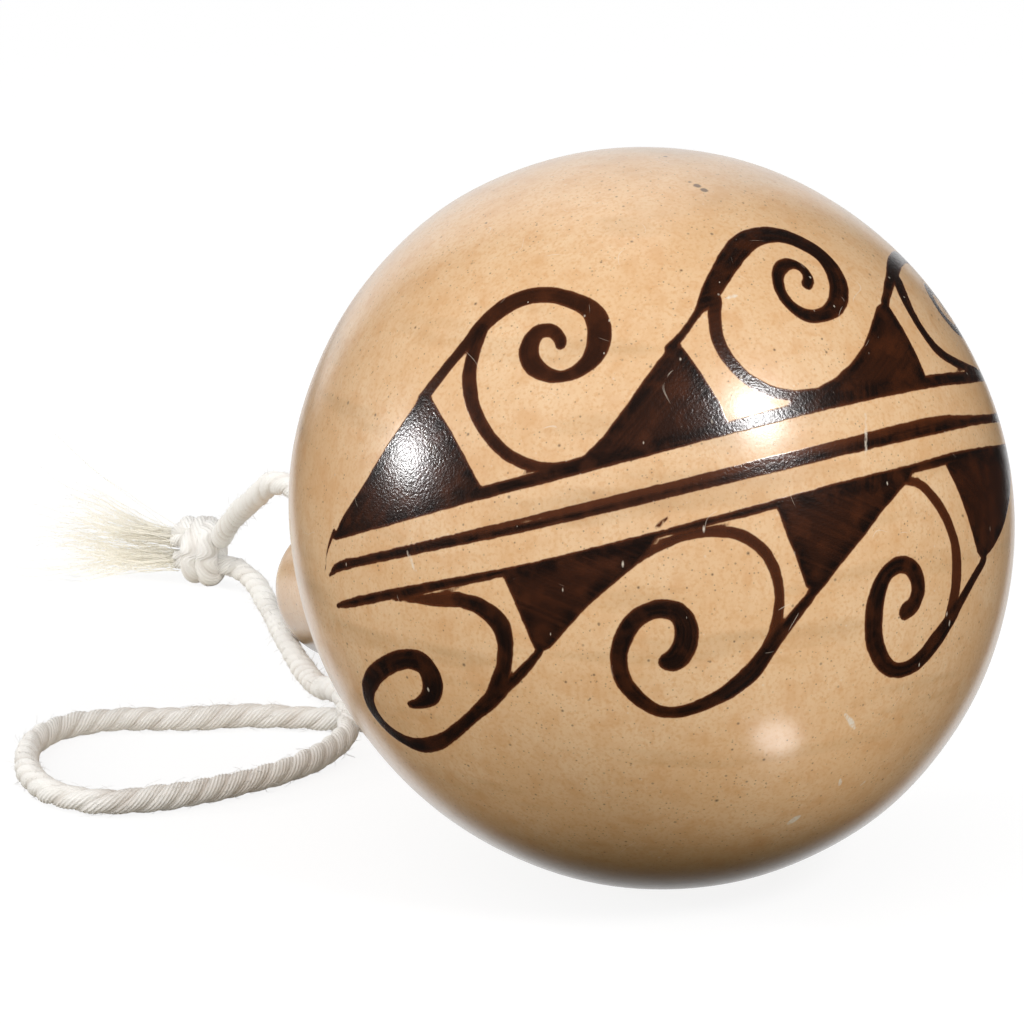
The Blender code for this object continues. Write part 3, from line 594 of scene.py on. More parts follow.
def brushed_paint(add, mm, grain, colours):
    """Brushed mineral paint with its pits and chips: where it lies, and its layers of colour.

    The paint soaks in: black-brown where it pooled, red-brown at its edges, along the bristles and
    where the brush ran dry.
    """
    bristle_mm, pool_mm, nick_mm = 1.3, 2.2, 0.9
    edge, load, wear = (add("Attribute", out="Fac", attribute_name=field)
                        for field in ("paint_edge", "paint_load", "wear_edge"))
    brush = add("Attribute", out="Vector", attribute_name="paint_brush")
    # The stroke's edge wavers by a tenth of a millimetre, and is thin for a third of one
    bristle = add("TexNoise", mm, more={"Scale": 1 / bristle_mm, "Detail": 4.0})
    waver = add("Math", bristle, 0.26, -0.13, operation="MULTIPLY_ADD")
    brushed = add("Math", edge, waver, operation="ADD")
    mask = add("MapRange", brushed, 0.07, -0.09, **EASED)
    depth = add("MapRange", brushed, 0.0, -0.30, 0.2, 1.0)
    # Bristle marks run along the stroke, about 0.4 mm apart
    marks_at = add("Mapping", brush, more={"Scale": (0.10, 2.4, 1.0)})
    marks = patches(add, marks_at, 1.0, 2.0, 0.32, 0.56, 0.84, 1.0)
    pools = patches(add, mm, pool_mm, 3.0, 0.34, 0.54, 0.72, 1.0)
    tone = load
    for share in (depth, marks, pools):
        tone = add("Math", tone, share, operation="MULTIPLY")
    paint = add("Mix", tone, more={6: colours.paint_thin, 7: colours.paint_dark}, **TINTED)
    # Nicks of up to 0.4 mm where the paint has been knocked off
    nicks_at = add("Mapping", mm, more={"Rotation": (0.5, 0.9, 0.3), "Scale": (1.0, 1.0, 0.35)})
    nicks = specks(add, nicks_at, nick_mm, 0.80, 0.2, 1.0)
    layers = [(mask, add("Mix", nicks, more={6: paint, 7: colours.chip}, **TINTED))]
    # Dark pits on the shoulder, each its place and size
    pit_rim_mm, ragged = 0.2, 3.0
    for spot_mm, wide_mm in (
        ((-1.0, -12.6, 80.8), 0.35),
        ((-0.5, -13.5, 80.5), 0.5),
        ((-0.1, -14.4, 80.1), 0.45),
        ((-0.4, -4.4, 82.6), 0.3),
        ((-2.3, -21.6, 76.4), 0.25),
    ):
        off = add("VectorMath", mm, spot_mm, out="Value", operation="DISTANCE")
        off = add("Math", waver, ragged, off, operation="MULTIPLY_ADD")
        layers.append((add("MapRange", off, wide_mm, wide_mm - pit_rim_mm, 0.0, 0.8), colours.speck))
    # Chips, crumbled inside
    crumbs = add("MapRange", grain, 0.40, 0.55, 0.6, 1.0)
    gnawed = add("Math", wear, waver, operation="ADD")
    layers.append((add("MapRange", gnawed, 0.10, -0.10, 0.0, crumbs), colours.chip))
    return mask, layers


def burnished_slip(name, colours, painted):
    """Stone-burnished clay slip, with or without brushed mineral paint.

    It gives the eye a buff, softly clouded colour with rubbed streaks, smudges, grit specks, hairline
    scratches, a painted shade that darkens it towards the bottom, and a waxy gloss. The paint has a grainy
    shine.
    """
    material, add, shader, mm = new_material(name)
    # Rubbed streaks, about 1 mm wide and 15 mm long up the ball, and smudges 30 mm long round it
    streaks = add("Mapping", mm, more={"Rotation": (0.28, 0.12, 0.0), "Scale": (1.0, 1.0, 1 / 15)})
    smudges = add("Mapping", mm, more={"Rotation": (0.2, 0.3, 0.0), "Scale": (1 / 6, 1 / 6, 1.0)})
    height_mm = add("SeparateXYZ", mm, out="Z")
    layers = [
        # Clouds of the slip, broad and fine
        (patches(add, mm, 9.0, 3.0, 0.40, 0.66, 0.0, 0.8), colours.slip_pale),
        (patches(add, mm, 2.4, 3.0, 0.50, 0.72, 0.0, 0.5), colours.slip_deep),
        (patches(add, mm, 0.4, 3.0, 0.48, 0.70, 0.0, 0.6), colours.slip_deep),
        # Streaks and smudges
        (patches(add, streaks, 1.1, 2.0, 0.50, 0.74, 0.0, 0.3), colours.slip_deep),
        (patches(add, smudges, 5.0, 3.0, 0.55, 0.78, 0.0, 0.35), colours.smudge_and_shade),
        # Painted shade: the slip darkens from 16 mm above the table down to 2 mm, under the ball and the
        # handle
        (add("MapRange", height_mm, 16.0, 2.0, 0.0, 0.9, **EASED), colours.smudge_and_shade),
        # Grit and pits, fine and coarse, and pale grains
        (specks(add, mm, 0.45, 0.30, 0.32, 0.80), colours.speck),
        (specks(add, mm, 1.2, 0.45, 0.20, 1.0), colours.speck),
        (specks(add, mm, 3.1, 0.80, 0.10, 1.0), colours.speck),
        (specks(add, mm, 1.3, 0.62, 0.16, 0.5), colours.chip),
    ]
    # The real grain is finer than the render can show, so it is drawn 0.3 mm wide
    gloss_mm, grain_mm, scratch_mm, place_mm = 1.6, 0.30, 12, 4.5
    gloss = patches(add, streaks, gloss_mm, 2.0, 0.3, 0.7, 0.34, 0.42)
    grain = add("TexNoise", mm, more={"Scale": 1 / grain_mm, "Detail": 2.0})
    height = add("Math", grain, 0.2, operation="MULTIPLY")
    if painted:
        mask, painted_layers = brushed_paint(add, mm, grain, colours)
        layers += painted_layers
        paint_gloss = 0.22
        gloss = add("Mix", mask, more={2: gloss, 3: paint_gloss})
        height = add("Mix", mask, more={2: height, 3: grain})
    # Hairline scratches: a thin slice of a slow noise, kept in a few places
    slow = add("TexNoise", mm, more={"Scale": 1 / scratch_mm, "Detail": 1.0})
    hair = add("Math", slow, 0.5, 0.0011, operation="COMPARE")
    kept = patches(add, mm, place_mm, 2.0, 0.58, 0.64, 0.0, 0.4)
    layers.append((add("Math", hair, kept, operation="MULTIPLY"), colours.chip))
    buff = colours.slip
    for share, tint in layers:
        buff = add("Mix", share, more={6: buff, 7: tint}, **TINTED)
    bump = add("Bump", more={"Height": height, "Strength": 1.0, "Distance": 0.03 * MM})
    set_inputs(shader, {"Base Color": buff, "Roughness": gloss, "Normal": bump, "Specular IOR Level": 0.4,
                        "Coat Normal": bump, "Coat Weight": 1.0, "Coat IOR": 1.6, "Coat Roughness": 0.21})
    return material


def raw_fired_clay(name, colours):
    """Unslipped fired clay: matt, sandy and a little uneven in colour from the fire."""
    material, add, shader, mm = new_material(name)
    sand_mm, cloud_mm = 0.4, 4.0
    sand = add("TexNoise", mm, more={"Scale": 1 / sand_mm, "Detail": 4.0})
    clouds = add("TexNoise", mm, more={"Scale": 1 / cloud_mm, "Detail": 2.0})
    tint = add("Mix", clouds, more={6: colours.raw_clay, 7: colours.slip_deep}, **TINTED)
    bump = add("Bump", more={"Height": sand, "Strength": 1.0, "Distance": 0.1 * MM})
    set_inputs(shader, {"Base Color": tint, "Normal": bump, "Roughness": 0.85})
    return material


def cotton_fibre(name, colours, combed):
    """Soft-spun cotton: matt off-white fibres with a faint sheen that let some light through.

    Spun, it has painted shade and dust in its grooves, darker where they are deeper and in dusty patches.
    Combed out at the frayed ends it is creamier and lets more light through.
    """
    material, add, shader, mm = new_material(name)
    tint, clear = (colours.cotton_combed, 0.6) if combed else (colours.cotton, 0.2)
    groove = add("Attribute", out="Fac", attribute_name="groove")
    lint_mm, dust_mm = 0.22, 7.0
    lint = add("TexNoise", mm, more={"Scale": 1 / lint_mm, "Detail": 3.0})
    dusty = patches(add, mm, dust_mm, 2.0, 0.42, 0.68, 0.2, 0.9)
    # Painted shade and dust: the grooves take the darker colour by their depth, more in dusty patches
    shade = add("Math", groove, dusty, operation="MULTIPLY")
    tint = add("Mix", shade, more={6: tint, 7: colours.cotton_shade}, **TINTED)
    bump = add("Bump", more={"Height": lint, "Strength": 1.0, "Distance": 0.07 * MM})
    through = add("BsdfTranslucent", tint)
    mixed = add("MixShader", clear, shader.outputs[0], through)
    set_inputs(material.node_tree.nodes["Material Output"], {"Surface": mixed})
    set_inputs(shader, {"Base Color": tint, "Normal": bump, "Roughness": 0.9, "Sheen Weight": 0.25,
                        "Sheen Roughness": 0.6})
    return material


class RATTLE_OT_ball(bpy.types.Operator):
    """Burnished ball with its painted band, and the chamber inside it"""

    bl_idname = "rattle.ball"
    bl_label = "Ball"

    def execute(self, context):
        body, colours = context.scene.rattle_body, context.scene.rattle_colours
        across, along, up = handle_axes(body)
        pole = math.cos(body.band_tilt) * up + math.sin(body.band_tilt) * across
        right = np.cross(along, pole)
        # Close steps on the painted band, in degrees, and wide ones on the bare back, top and bottom
        side, foot, head, top = 92, -62, 44, 89.6
        lon = np.r_[open_steps(-side, side, 336), open_steps(side, 360 - side, 94)]
        lat = np.r_[open_steps(-top, foot, 14), open_steps(foot, head, 172), np.linspace(head, top, 30)]
        turn, rise = np.meshgrid(np.radians(lon), np.radians(lat))
        ways = globe(turn, rise) @ np.array([-along, right, pole])
        outside = rest_on_table(ball_surface(body, ways), body.flat_edge)

        chamber_radius, near_pole = body.ball_short / 2 - body.wall, 1.55
        inward = globe(*np.meshgrid(open_steps(0, -math.tau, 96), np.linspace(-near_pole, near_pole, 48)))
        chamber = BALL_CENTRE + chamber_radius * inward
        ball = closed_skins("painted_ball", [outside, chamber],
                            shared_material("painted_burnished_slip", burnished_slip, colours, True),
                            shared_material("raw_fired_clay", raw_fired_clay, colours))
        centres = np.zeros(len(ball.data.polygons) * 3, np.float32)
        ball.data.polygons.foreach_get("center", centres)
        off = np.linalg.norm(centres.reshape(-1, 3) - BALL_CENTRE, axis=1)
        inside = off < chamber_radius + body.wall / 2
        ball.data.polygons.foreach_set("material_index", inside.astype(np.int32))

        mean_radius_mm = 41.0
        turned = (turn + math.pi) % math.tau - math.pi
        spots = (np.stack([turned, rise], -1) * mean_radius_mm).reshape(-1, 2).astype(np.float32)
        # The chamber bears no paint, so it counts as far off
        names = ("paint_edge", "paint_load", "paint_brush", "wear_edge")
        for name, values in zip(names, paint_fields(spots)):
            add_attribute(ball, name, values, values.max() if name.endswith("edge") else 0)
        settle(ball, "rattle", "polished_clay", "front_half_shell", "rear_half_shell", "seam_coil")
        return {"FINISHED"}


def handle_skin(body):
    """Surface of the handle: rings square to its axis, each with its radius and its reach from the ball.

    The neck is a cubic Hermite from the ball's own slope to the handle's straight side, with a hem
    round it that is tucked into the ball. The shaft is rolled by hand: two slow waves change its radius
    by up to a hundredth. The cap is an arc just short of a quarter turn.
    """
    across, along, up = handle_axes(body)
    rows, semi = ball_axes(body)
    turn = open_steps(0, math.tau, 120)
    out = circle(turn, across, -up)
    narrow, wide = out @ rows[0] / semi[0], out @ rows[2] / semi[2]

    def ball_back(radius):
        """Reach of the ball's back at a radius from the handle's axis."""
        return semi[1] * np.sqrt(1 - (radius * narrow) ** 2 - (radius * wide) ** 2)

    start_radius, tuck, hem, fullness = body.neck_radius, 0.25 * MM, 1.2 * MM, 0.9
    start_reach = ball_back(start_radius)
    slope = (ball_back(start_radius - tuck) - start_reach) / tuck
    top_reach = body.ball_axial / 2 + body.neck_top
    pull = fullness * np.hypot(start_radius - body.base_radius, top_reach - start_reach)
    lead = pull / np.hypot(1, slope)
    start, leave, stop, arrive = hermite(np.linspace(0, 1, 24)[:, None])
    neck_radius = start * start_radius - leave * lead + stop * body.base_radius
    neck_reach = start * start_reach + leave * lead * slope + stop * top_reach + arrive * pull
    hem_radius = np.full((1, len(turn)), start_radius + hem)
    hem_reach = ball_back(hem_radius) - tuck

    # The waves run in radians for each metre
    uneven, twist, wave, cap_arc = 0.010, 90, 140, 1.53
    end_reach = body.ball_axial / 2 + body.handle_length
    shaft_reach = np.linspace(top_reach, end_reach, 110)[1:, None] + 0 * turn
    swell = 1 + uneven * np.sin(2 * turn + twist * shaft_reach) * np.sin(wave * shaft_reach + 0.6)
    shaft_radius = handle_radius(body, shaft_reach) * swell
    arc = np.linspace(0, cap_arc, 26)[1:, None] + 0 * turn
    cap_radius = shaft_radius[-1] * np.cos(arc)
    cap_reach = end_reach + body.end_radius * np.sin(arc)
    radius = np.vstack([hem_radius, neck_radius, shaft_radius, cap_radius])
    reach = np.vstack([hem_reach, neck_reach, shaft_reach, cap_reach])
    return rest_on_table(BALL_CENTRE + reach[..., None] * along + radius[..., None] * out, body.flat_edge)


class RATTLE_OT_handle(bpy.types.Operator):
    """Handle with its smoothed neck and pierced eye"""

    bl_idname = "rattle.handle"
    bl_label = "Handle"

    def execute(self, context):
        body, colours = context.scene.rattle_body, context.scene.rattle_colours
        handle = closed_skins("handle_with_neck", [handle_skin(body)],
                              shared_material("burnished_slip", burnished_slip, colours, False))
        # Eye: a bore past both surfaces, whose mouths flare by the fourth power of the way to them
        middle, way, half = eye_line(body)
        side = unit(np.cross(way, handle_axes(body)[1]))
        past, crease = 1.25, math.radians(50)
        share = np.linspace(-past, past, 41)[:, None]
        bore = body.eye_diameter / 2 + body.eye_flare * share ** 4
        ring = circle(open_steps(0, math.tau, 40), side, np.cross(way, side))
        awl = closed_skins("eye_awl", [middle + (share * half)[..., None] * way + bore[..., None] * ring])
        handle.modifiers.new("eye", "BOOLEAN").object = awl
        pierced = bpy.data.meshes.new_from_object(handle.evaluated_get(context.evaluated_depsgraph_get()))
        handle.modifiers.clear()
        handle.data = pierced
        handle.data.shade_smooth()
        handle.data.set_sharp_from_angle(angle=crease)
        bpy.data.objects.remove(awl)
        settle(handle, "rattle", "polished_clay", "handle", "neck_coil")
        return {"FINISHED"}


def cord_skin(cord, path, thickness=1.0):
    """Surface of a twisted three-ply cord along a path, and the depth of its grooves.

    The section is three round plies, r = q cos d + sqrt(p^2 - q^2 sin^2 d) with d the angle from a
    ply's middle, its grooves partly filled, with fine cosine ridges for the yarns. It turns once in a
    lay as it runs, and swells and turns a little unevenly.
    """
    plies, ridge, slow_swell, quick_swell, stray = 3, 0.07, 0.035, 0.025, 0.4
    slow, quick, stray_run, yarn_lay = 3.7 * MM, 1.3 * MM, 4.9 * MM, 0.35 * cord.lay
    points_on_yarn = 6
    radius = cord.diameter / 2 * thickness
    around = open_steps(0, math.tau, plies * cord.yarns * points_on_yarn)
    along = run_of(path)[:, None]
    ply_radius = radius / (1 + 2 / math.sqrt(3))
    ply_offset = radius - ply_radius
    off = ((around * plies / math.tau) % 1 - 0.5) * math.tau / plies
    lobed = np.sqrt(np.maximum(ply_radius ** 2 - (ply_offset * np.sin(off)) ** 2, 0))
    lobed = ply_offset * np.cos(off) + lobed
    yarn = (np.cos(plies * cord.yarns * around + math.tau * (along / yarn_lay)) - 1) / 2
    section = radius - cord.groove * (radius - lobed) + ridge * radius * yarn
    section = section * (1 + slow_swell * np.sin(along / slow + 1) + quick_swell * np.sin(along / quick + 2))
    turned = around - math.tau * along / cord.lay + stray * np.sin(along / stray_run + 0.5)
    forward = unit(np.gradient(path, axis=0))
    lifted = unit(UP - (forward @ UP)[:, None] * forward)
    ring = circle(turned, lifted[:, None], np.cross(forward, lifted)[:, None])
    skin = above_table(path[:, None] + section[..., None] * ring)
    deepest = 0.25 * radius
    return skin, np.clip((radius - section) / deepest, 0, 1)


def fibre_skins(paths, root_radius, tip_radius, sides=4):
    """Thin round fibres along paths (fibres, points, 3), tapering straight from root to tip."""
    heading = unit(paths[:, -1] - paths[:, 0])
    aslant = np.array([0.31, 0.17, 0.94])
    side = unit(np.cross(heading, aslant))
    ring = circle(open_steps(0, math.tau, sides), side[:, None], np.cross(heading, side)[:, None])
    radius = root_radius + (tip_radius - root_radius) * np.linspace(0, 1, paths.shape[1])
    return above_table(paths[:, :, None] + radius[None, :, None, None] * ring[:, None])


def lint_on(skin, path, count, rng):
    """Loose fibre ends that stand off a cord: each starts on its surface and bends along it.

    A path is start + reach ((stand outward + stray) t + forward t^2 + stray t^3), with shares of stray.
    """
    spare, root_radius, tip_radius = 4, 0.035 * MM, 0.012 * MM
    rings = rng.integers(spare, len(path) - spare, count)
    starts = skin[rings, rng.integers(0, skin.shape[1], count)]
    outward = unit(starts - path[rings])
    forward = unit(np.gradient(path, axis=0))[rings] * rng.choice([-1, 1], count)[:, None]
    reach = rng.uniform(0.6, 1.8, count)[:, None] * MM
    stand = rng.uniform(0.15, 0.55, count)[:, None]
    stray = rng.normal(0, 0.35, (count, 3))
    t = np.linspace(0, 1, 6)[None, :, None]
    paths = (starts[:, None] + (reach * (outward * stand + stray * 0.3))[:, None] * t
             + (reach * forward)[:, None] * t ** 2 + (reach * stray * 0.5)[:, None] * t ** 3)
    return fibre_skins(paths, root_radius, tip_radius, sides=3)


class RATTLE_OT_cord(bpy.types.Operator):
    """Twisted cotton cord, both strands, with the lint that stands off it"""

    bl_idname = "rattle.cord"
    bl_label = "Cord"

    def execute(self, context):
        cord, colours = context.scene.rattle_cord, context.scene.rattle_colours
        middle, way, half = eye_line(context.scene.rattle_body)
        clearance, lint_spacing = 0.15 * MM, 0.25 * MM
        rng = np.random.default_rng(11)
        cotton = shared_material("twisted_cotton", cotton_fibre, colours, False)
        for name, route, side in (("cord_short", SHORT_ROUTE, 1), ("cord_long", LONG_ROUTE, -1)):
            mouth = middle + side * half * way
            start = [middle + side * clearance * way, middle + side * half / 2 * way, mouth]
            path = smooth_route(np.vstack([start, route]), cord.ring_step)
            skin, groove = cord_skin(cord, path)
            strand = closed_skins(name + "_twisted", [skin], cotton)
            add_attribute(strand, "groove", groove.ravel(), 0)
            settle(strand, "rattle", "cotton_cord", name + "_strand")
            run = run_of(path)[-1]
            fuzz = lint_on(skin, path, round(run / lint_spacing), rng)
            lint = closed_skins(name + "_lint", [fuzz], cotton)
            add_attribute(lint, "groove", np.zeros(0), 0)
            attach(lint, "rattle")
        return {"FINISHED"}


def knot_axes(cord):
    """Middle of the knot, the way its ends leave, and the way across."""
    heading = np.array([math.cos(cord.knot_heading), math.sin(cord.knot_heading), 0.0])
    return np.array(cord.knot_centre), heading, np.cross(UP, heading)


class RATTLE_OT_knot(bpy.types.Operator):
    """Overhand knot: the cord wound round itself and drawn tight"""

    bl_idname = "rattle.knot"
    bl_label = "Knot"

    def execute(self, context):
        cord, colours = context.scene.rattle_cord, context.scene.rattle_colours
        centre, heading, across = knot_axes(cord)
        # Wraps: a helix about the knot's axis, wider towards the strands, that starts inside the knot,
        # where its tail opens out as it goes back
        first, last, opening, start_angle = -0.7, 1.75, 0.5, 2.2
        wide_mm, narrower_mm, tail_mm, back_mm, middle_mm, pitch_mm = 3.6, 0.55, 2.0, 4.6, -2.1, 4.1
        turns = np.linspace(first, last, 200)
        out = np.clip((turns - first) / opening, 0, 1)
        wrap_radius = (wide_mm - narrower_mm * turns / last) * out ** 3 * (4 - 3 * out) * MM
        advance = np.where(out < 1, tail_mm - back_mm * out, middle_mm + pitch_mm * turns / last) * MM
        ring = circle(math.tau * turns + start_angle, UP, across)
        wraps = centre + advance[:, None] * heading + wrap_radius[:, None] * ring
        parting, through = 1.6 * MM * UP, 3.9 * MM * heading
        skins, grooves = [], []
        for path, thickness in (
            (wraps, 1.2),
            (np.linspace(np.array(SHORT_ROUTE[-1]), centre + parting + through, 40), 0.95),
            (np.linspace(np.array(LONG_ROUTE[-1]), centre - parting + through, 40), 0.95),
        ):
            skin, groove = cord_skin(cord, path, thickness)
            skins.append(skin)
            grooves.append(np.r_[groove.ravel(), 0, 0])
        knot = closed_skins("overhand_knot", skins,
                            shared_material("twisted_cotton", cotton_fibre, colours, False))
        add_attribute(knot, "groove", np.concatenate(grooves), 0)
        settle(knot, "rattle", "cotton_cord", "cord_knot")
        return {"FINISHED"}


class RATTLE_OT_frayed_ends(bpy.types.Operator):
    """The two ends past the knot, combed out into loose fibres"""

    bl_idname = "rattle.frayed_ends"
    bl_label = "Frayed ends"

    def execute(self, context):
        cord, colours = context.scene.rattle_cord, context.scene.rattle_colours
        centre, heading, across = knot_axes(cord)
        rng = np.random.default_rng(5)
        t = np.linspace(0, 1, 20)[None, :, None]
        locks, count, standing = 7, cord.fibres, 0.05
        past_knot, parting, root_radius, tip_radius = 3.4 * MM, 1.5 * MM, 0.055 * MM, 0.03 * MM
        for name, side in (("cord_short", 1), ("cord_long", -1)):
            # Locks: each has its own way and wave; the first one of the upper end stands up
            lift = rng.normal(0.05 + 0.06 * side, 0.07, (locks, 1))
            lift[0] = 0.45 if side > 0 else 0.0
            way = unit(heading + rng.normal(-0.06 * side, 0.15, (locks, 1)) * across + lift * UP)
            reach = cord.frayed_length * rng.uniform(0.7, 1.0, (locks, 1))
            curl = rng.normal(0, 1.2, (locks, 3)) * MM
            wave = rng.uniform(0.6, 1.1, (locks, 1, 1)) * math.tau
            # Fibres: they follow their lock, spread from it and wave a little on their own
            others = np.full(locks - 1, (1 - standing) / (locks - 1))
            lock = rng.choice(locks, count, p=np.r_[standing, others])
            root = rng.normal(0, 0.45, (count, 2)) * cord.diameter / 2
            start = (centre + past_knot * heading + side * parting * UP
                     + root[:, :1] * across + root[:, 1:] * UP)
            spread = rng.normal(0, 1.3, (count, 3)) * MM
            own_curl = rng.normal(0, 0.45, (count, 3)) * MM
            own_wave = rng.uniform(0.7, 2.2, (count, 1, 1)) * math.tau
            run = reach[lock] * rng.uniform(0.6, 1.08, (count, 1))
            paths = (start[:, None] + (way[lock] * run)[:, None] * t
                     + curl[lock][:, None] * np.sin(wave[lock] * t) * t
                     + spread[:, None] * t + own_curl[:, None] * np.sin(own_wave * t) * t)
            tuft = closed_skins(name + "_frayed_end", [fibre_skins(paths, root_radius, tip_radius)],
                                shared_material("combed_cotton", cotton_fibre, colours, True))
            # A little painted shade and dust on the loose fibres too, in dusty patches
            add_attribute(tuft, "groove", np.zeros(0), 0.1)
            settle(tuft, "rattle", "cotton_cord", name.replace("cord", "frayed_end"))
        return {"FINISHED"}


class RATTLE_OT_pellets(bpy.types.Operator):
    """Hand-rolled pellets of fired clay inside the chamber"""

    bl_idname = "rattle.pellets"
    bl_label = "Pellets"

    def execute(self, context):
        clay = shared_material("raw_fired_clay", raw_fired_clay, context.scene.rattle_colours)
        near_pole, uneven = 1.52, 0.04
        ways = globe(*np.meshgrid(open_steps(0, math.tau, 40), np.linspace(-near_pole, near_pole, 21)))
        x, y, z = np.moveaxis(ways, -1, 0)
        for body, nodes in BODIES.items():
            if not nodes[0].startswith("pellet"):
                continue
            low, high = (np.array(corner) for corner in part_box(nodes[0]))
            # A sphere with lumps, half of (a product of two sines + a sine); its number shifts them
            phase = float(nodes[0].split("_")[1])
            lumps = (np.sin(3.1 * x + phase) * np.sin(2.7 * y - 2 * phase) + np.sin(4.3 * z + 3 * phase)) / 2
            radius = (high - low).min() / 2 * (1 - uneven + uneven * lumps)
            skin = (low + high) / 2 + radius[..., None] * ways
            pellet = closed_skins("rolled_" + nodes[0], [skin], clay)
            settle(pellet, body, "raw_clay", nodes[0])
        return {"FINISHED"}


def white_paper(name, stage, colours):
    """White paper: white to the eye, with the rattle's shadow on it.

    In the gloss it is white behind the rattle and dark before it, with a bowed border. Close under the
    ball only the bounce meets a dark olive card, a painted shade that darkens and tints the ball's
    underside. Distances are in millimetres.
    """
    material, add, shader, mm = new_material(name)
    ahead = (math.sin(-stage.view_turn), math.cos(stage.view_turn), 0.0)
    depth, beside = (add("VectorMath", mm, way, out="Value", operation="DOT_PRODUCT")
                     for way in (ahead, (ahead[1], -ahead[0], 0.0)))
    bow, cord_middle = -0.012, (-32.0, 130.0, 0.0)
    bowed = add("Math", beside, beside, operation="MULTIPLY")
    bowed = add("Math", bowed, bow, depth, operation="MULTIPLY_ADD")
    behind = add("MapRange", bowed, -19.0, -4.0, **EASED)
    ray = add("LightPath").node.outputs
    glossy = add("Math", ray["Is Glossy Ray"], behind, operation="MULTIPLY")
    seen = add("Math", ray["Is Camera Ray"], ray["Is Transmission Ray"], operation="MAXIMUM")
    seen = add("Math", seen, glossy, operation="MAXIMUM")
    off_cord = add("VectorMath", mm, cord_middle, out="Value", operation="DISTANCE")
    near_cord = add("MapRange", off_cord, 95.0, 50.0, **EASED)
    off_ball = add("VectorMath", mm, out="Value", operation="LENGTH")
    beyond = add("MapRange", off_ball, 45.0, 110.0, 0.0, 0.6, **EASED)
    paler = add("Math", near_cord, beyond, operation="MAXIMUM")
    # Painted shade: close under the ball the bounce meets the dark card; round the cord and far off it meets
    # pale paper
    paper = add("Mix", paler, more={6: colours.shade_card, 7: colours.floor}, **TINTED)
    paper = add("Mix", ray["Is Diffuse Ray"], more={6: colours.shadow, 7: paper}, **TINTED)
    paper = add("Mix", ray["Is Glossy Ray"], more={6: paper, 7: colours.floor_gloss}, **TINTED)
    glow = add("Math", seen, stage.floor_glow, operation="MULTIPLY")
    set_inputs(shader, {"Base Color": paper, "Emission Strength": glow, "Emission Color": WHITE,
                        "Roughness": 0.9, "Specular IOR Level": 0.0})
    return material


def studio_room(name, stage):
    """World: white to the eye; in the gloss, white behind the rattle and dark in front of it."""
    world = bpy.data.worlds.new(name)
    world.use_nodes = True
    add = partial(add_node, world.node_tree)
    way = add("TexCoord", out="Generated")
    lean = add("VectorMath", way, stage.room_lean, out="Value", operation="DOT_PRODUCT")
    lit = add("Math", lean, stage.room_light, operation="ADD")
    lit = add("Math", lit, 0.0, operation="MAXIMUM")
    level = add("VectorMath", way, (1.0, 1.0, 0.0), operation="MULTIPLY")
    level = add("VectorMath", level, operation="NORMALIZE")
    # The backdrop fades from 22 to 33 degrees off its middle
    backdrop, backdrop_light, faded, full = (0.225, 0.974, 0.0), 0.85, 0.84, 0.93
    facing = add("VectorMath", level, backdrop, out="Value", operation="DOT_PRODUCT")
    facing = add("MapRange", facing, faded, full, stage.room_gloss, backdrop_light, **EASED)
    ray = add("LightPath").node.outputs
    room = add("Mix", ray["Is Glossy Ray"], more={2: lit, 3: facing})
    seen = add("Math", ray["Is Camera Ray"], ray["Is Transmission Ray"], operation="MAXIMUM")
    strength = add("Mix", seen, more={2: room, 3: 1.0})
    set_inputs(world.node_tree.nodes["Background"], {"Strength": strength, "Color": WHITE})
    return world


def hang_lamps(scene, stage):
    """Round and oval lamps, each at its place and facing its way."""
    for name, power, size, place, aim in (
        ("front_softbox", stage.front_power, (0.23, 0.23), (0.216, -0.674, 0.598), (-0.24, 0.75, -0.62)),
        ("side_strip", stage.side_power, (0.036, 0.12), (-0.835, 0.269, 0.239), (0.93, -0.30, -0.22)),
        ("light_pool", stage.pool_power, (0.013, 0.013), (0.009, -0.055, 0.0005), (0.0, 0.0, 1.0)),
        ("cord_light", stage.cord_power, (0.30, 0.30), (-0.25, -0.25, 0.45), (0.20, 0.31, -0.45)),
    ):
        lamp = bpy.data.lights.new(name, "AREA")
        lamp.shape = "ELLIPSE"
        lamp.size, lamp.size_y = size
        lamp.energy = power
        holder = bpy.data.objects.new(name, lamp)
        holder.location = place
        holder.rotation_euler = (-Vector(aim)).to_track_quat("Z", "Y").to_euler()
        holder.visible_camera = False
        scene.collection.objects.link(holder)
    # A flag keeps the last lamp off the clay: it lights the cotton alone
    cotton = bpy.data.collections.new("cotton_pieces")
    for piece in scene.objects:
        if piece.name.startswith(("cord_", "overhand_")) and piece.type == "MESH":
            cotton.objects.link(piece)
    holder.light_linking.receiver_collection = cotton


def set_camera(scene, stage):
    """Camera at its turn, rise and depth, moved across its view until the ball is at its pixels."""
    turn, rise = stage.view_turn, stage.view_rise
    right = Vector((math.cos(turn), math.sin(turn), 0))
    ahead = Vector((-math.sin(turn) * math.cos(rise), math.cos(turn) * math.cos(rise), -math.sin(rise)))
    above = right.cross(ahead)
    sensor = 36.0
    focal_px = stage.focal / sensor * stage.image_px
    off = [(px - stage.image_px / 2) / focal_px * stage.view_depth for px in stage.ball_px]
    camera = bpy.data.objects.new("camera", bpy.data.cameras.new("camera"))
    camera.data.lens = stage.focal
    camera.data.sensor_width = sensor
    camera.data.clip_start = 0.01
    camera.location = Vector(BALL_CENTRE) - ahead * stage.view_depth - right * off[0] + above * off[1]
    camera.rotation_euler = (-ahead).to_track_quat("Z", "Y").to_euler()
    scene.collection.objects.link(camera)
    scene.camera = camera


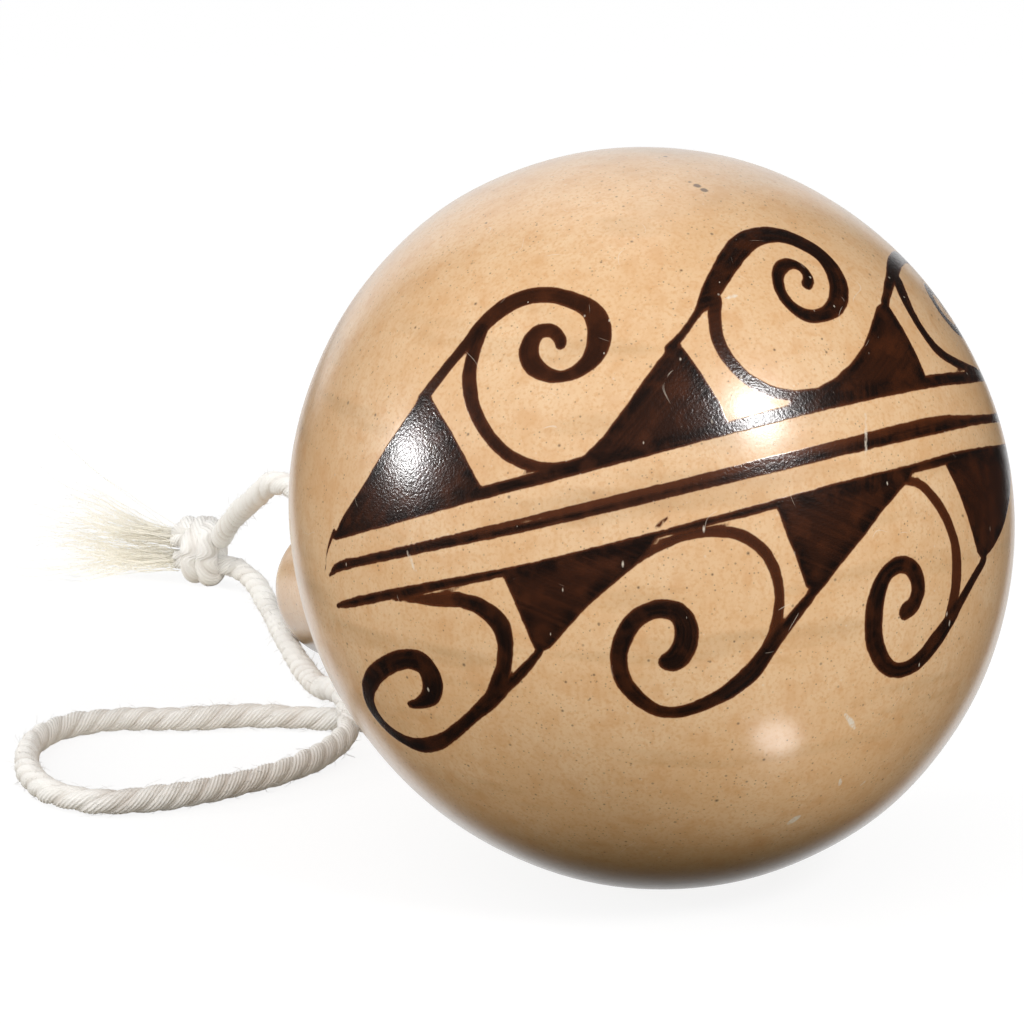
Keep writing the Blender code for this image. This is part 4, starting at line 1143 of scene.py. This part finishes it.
class RATTLE_OT_stage(bpy.types.Operator):
    """Pale table, soft studio light and the camera"""

    bl_idname = "rattle.stage"
    bl_label = "Stage"

    def execute(self, context):
        scene, stage = context.scene, context.scene.rattle_stage
        half, below_flats = 3.0, 0.02 * MM
        mesh = bpy.data.meshes.new("table")
        corners = [(-half, -half, 0), (half, -half, 0), (half, half, 0), (-half, half, 0)]
        mesh.from_pydata(corners, [], [(0, 1, 2, 3)])
        mesh.materials.append(white_paper("white_paper", stage, scene.rattle_colours))
        table = bpy.data.objects.new("table", mesh)
        scene.collection.objects.link(table)
        table.location.z = -below_flats
        scene.world = studio_room("studio_room", stage)
        hang_lamps(scene, stage)
        set_camera(scene, stage)
        scene.view_settings.view_transform = "Standard"
        return {"FINISHED"}


class RATTLE_PT_panel(bpy.types.Panel):
    """Pieces of the rattle and the sizes that a user would change"""

    bl_idname = "RATTLE_PT_panel"
    bl_label = "Clay Rattle"
    bl_space_type = "VIEW_3D"
    bl_region_type = "UI"
    bl_category = "Rattle"

    def draw(self, context):
        for operator in OPERATORS:
            self.layout.operator(operator.bl_idname)
        for name in GROUPS:
            group = getattr(context.scene, name)
            box = self.layout.box()
            for key in group.__annotations__:
                box.prop(group, key)


OPERATORS = (RATTLE_OT_ball, RATTLE_OT_handle, RATTLE_OT_frayed_ends, RATTLE_OT_knot, RATTLE_OT_cord,
             RATTLE_OT_pellets, RATTLE_OT_stage)
GROUPS = {"rattle_body": RattleBody, "rattle_cord": RattleCord,
          "rattle_colours": RattleColours, "rattle_stage": RattleStage}
CLASSES = (*GROUPS.values(), *OPERATORS, RATTLE_PT_panel)


def register():
    """Register the classes and give the scene their property groups."""
    for kind in CLASSES:
        bpy.utils.register_class(kind)
    for name, group in GROUPS.items():
        setattr(bpy.types.Scene, name, PointerProperty(type=group))


def unregister():
    """Take the property groups and the classes away again."""
    for name in GROUPS:
        delattr(bpy.types.Scene, name)
    for kind in reversed(CLASSES):
        bpy.utils.unregister_class(kind)


def main():
    """Build the pieces and the stage."""
    register()
    for operator in OPERATORS:
        area, name = operator.bl_idname.split(".")
        getattr(getattr(bpy.ops, area), name)()


if __name__ == "__main__":
    main()
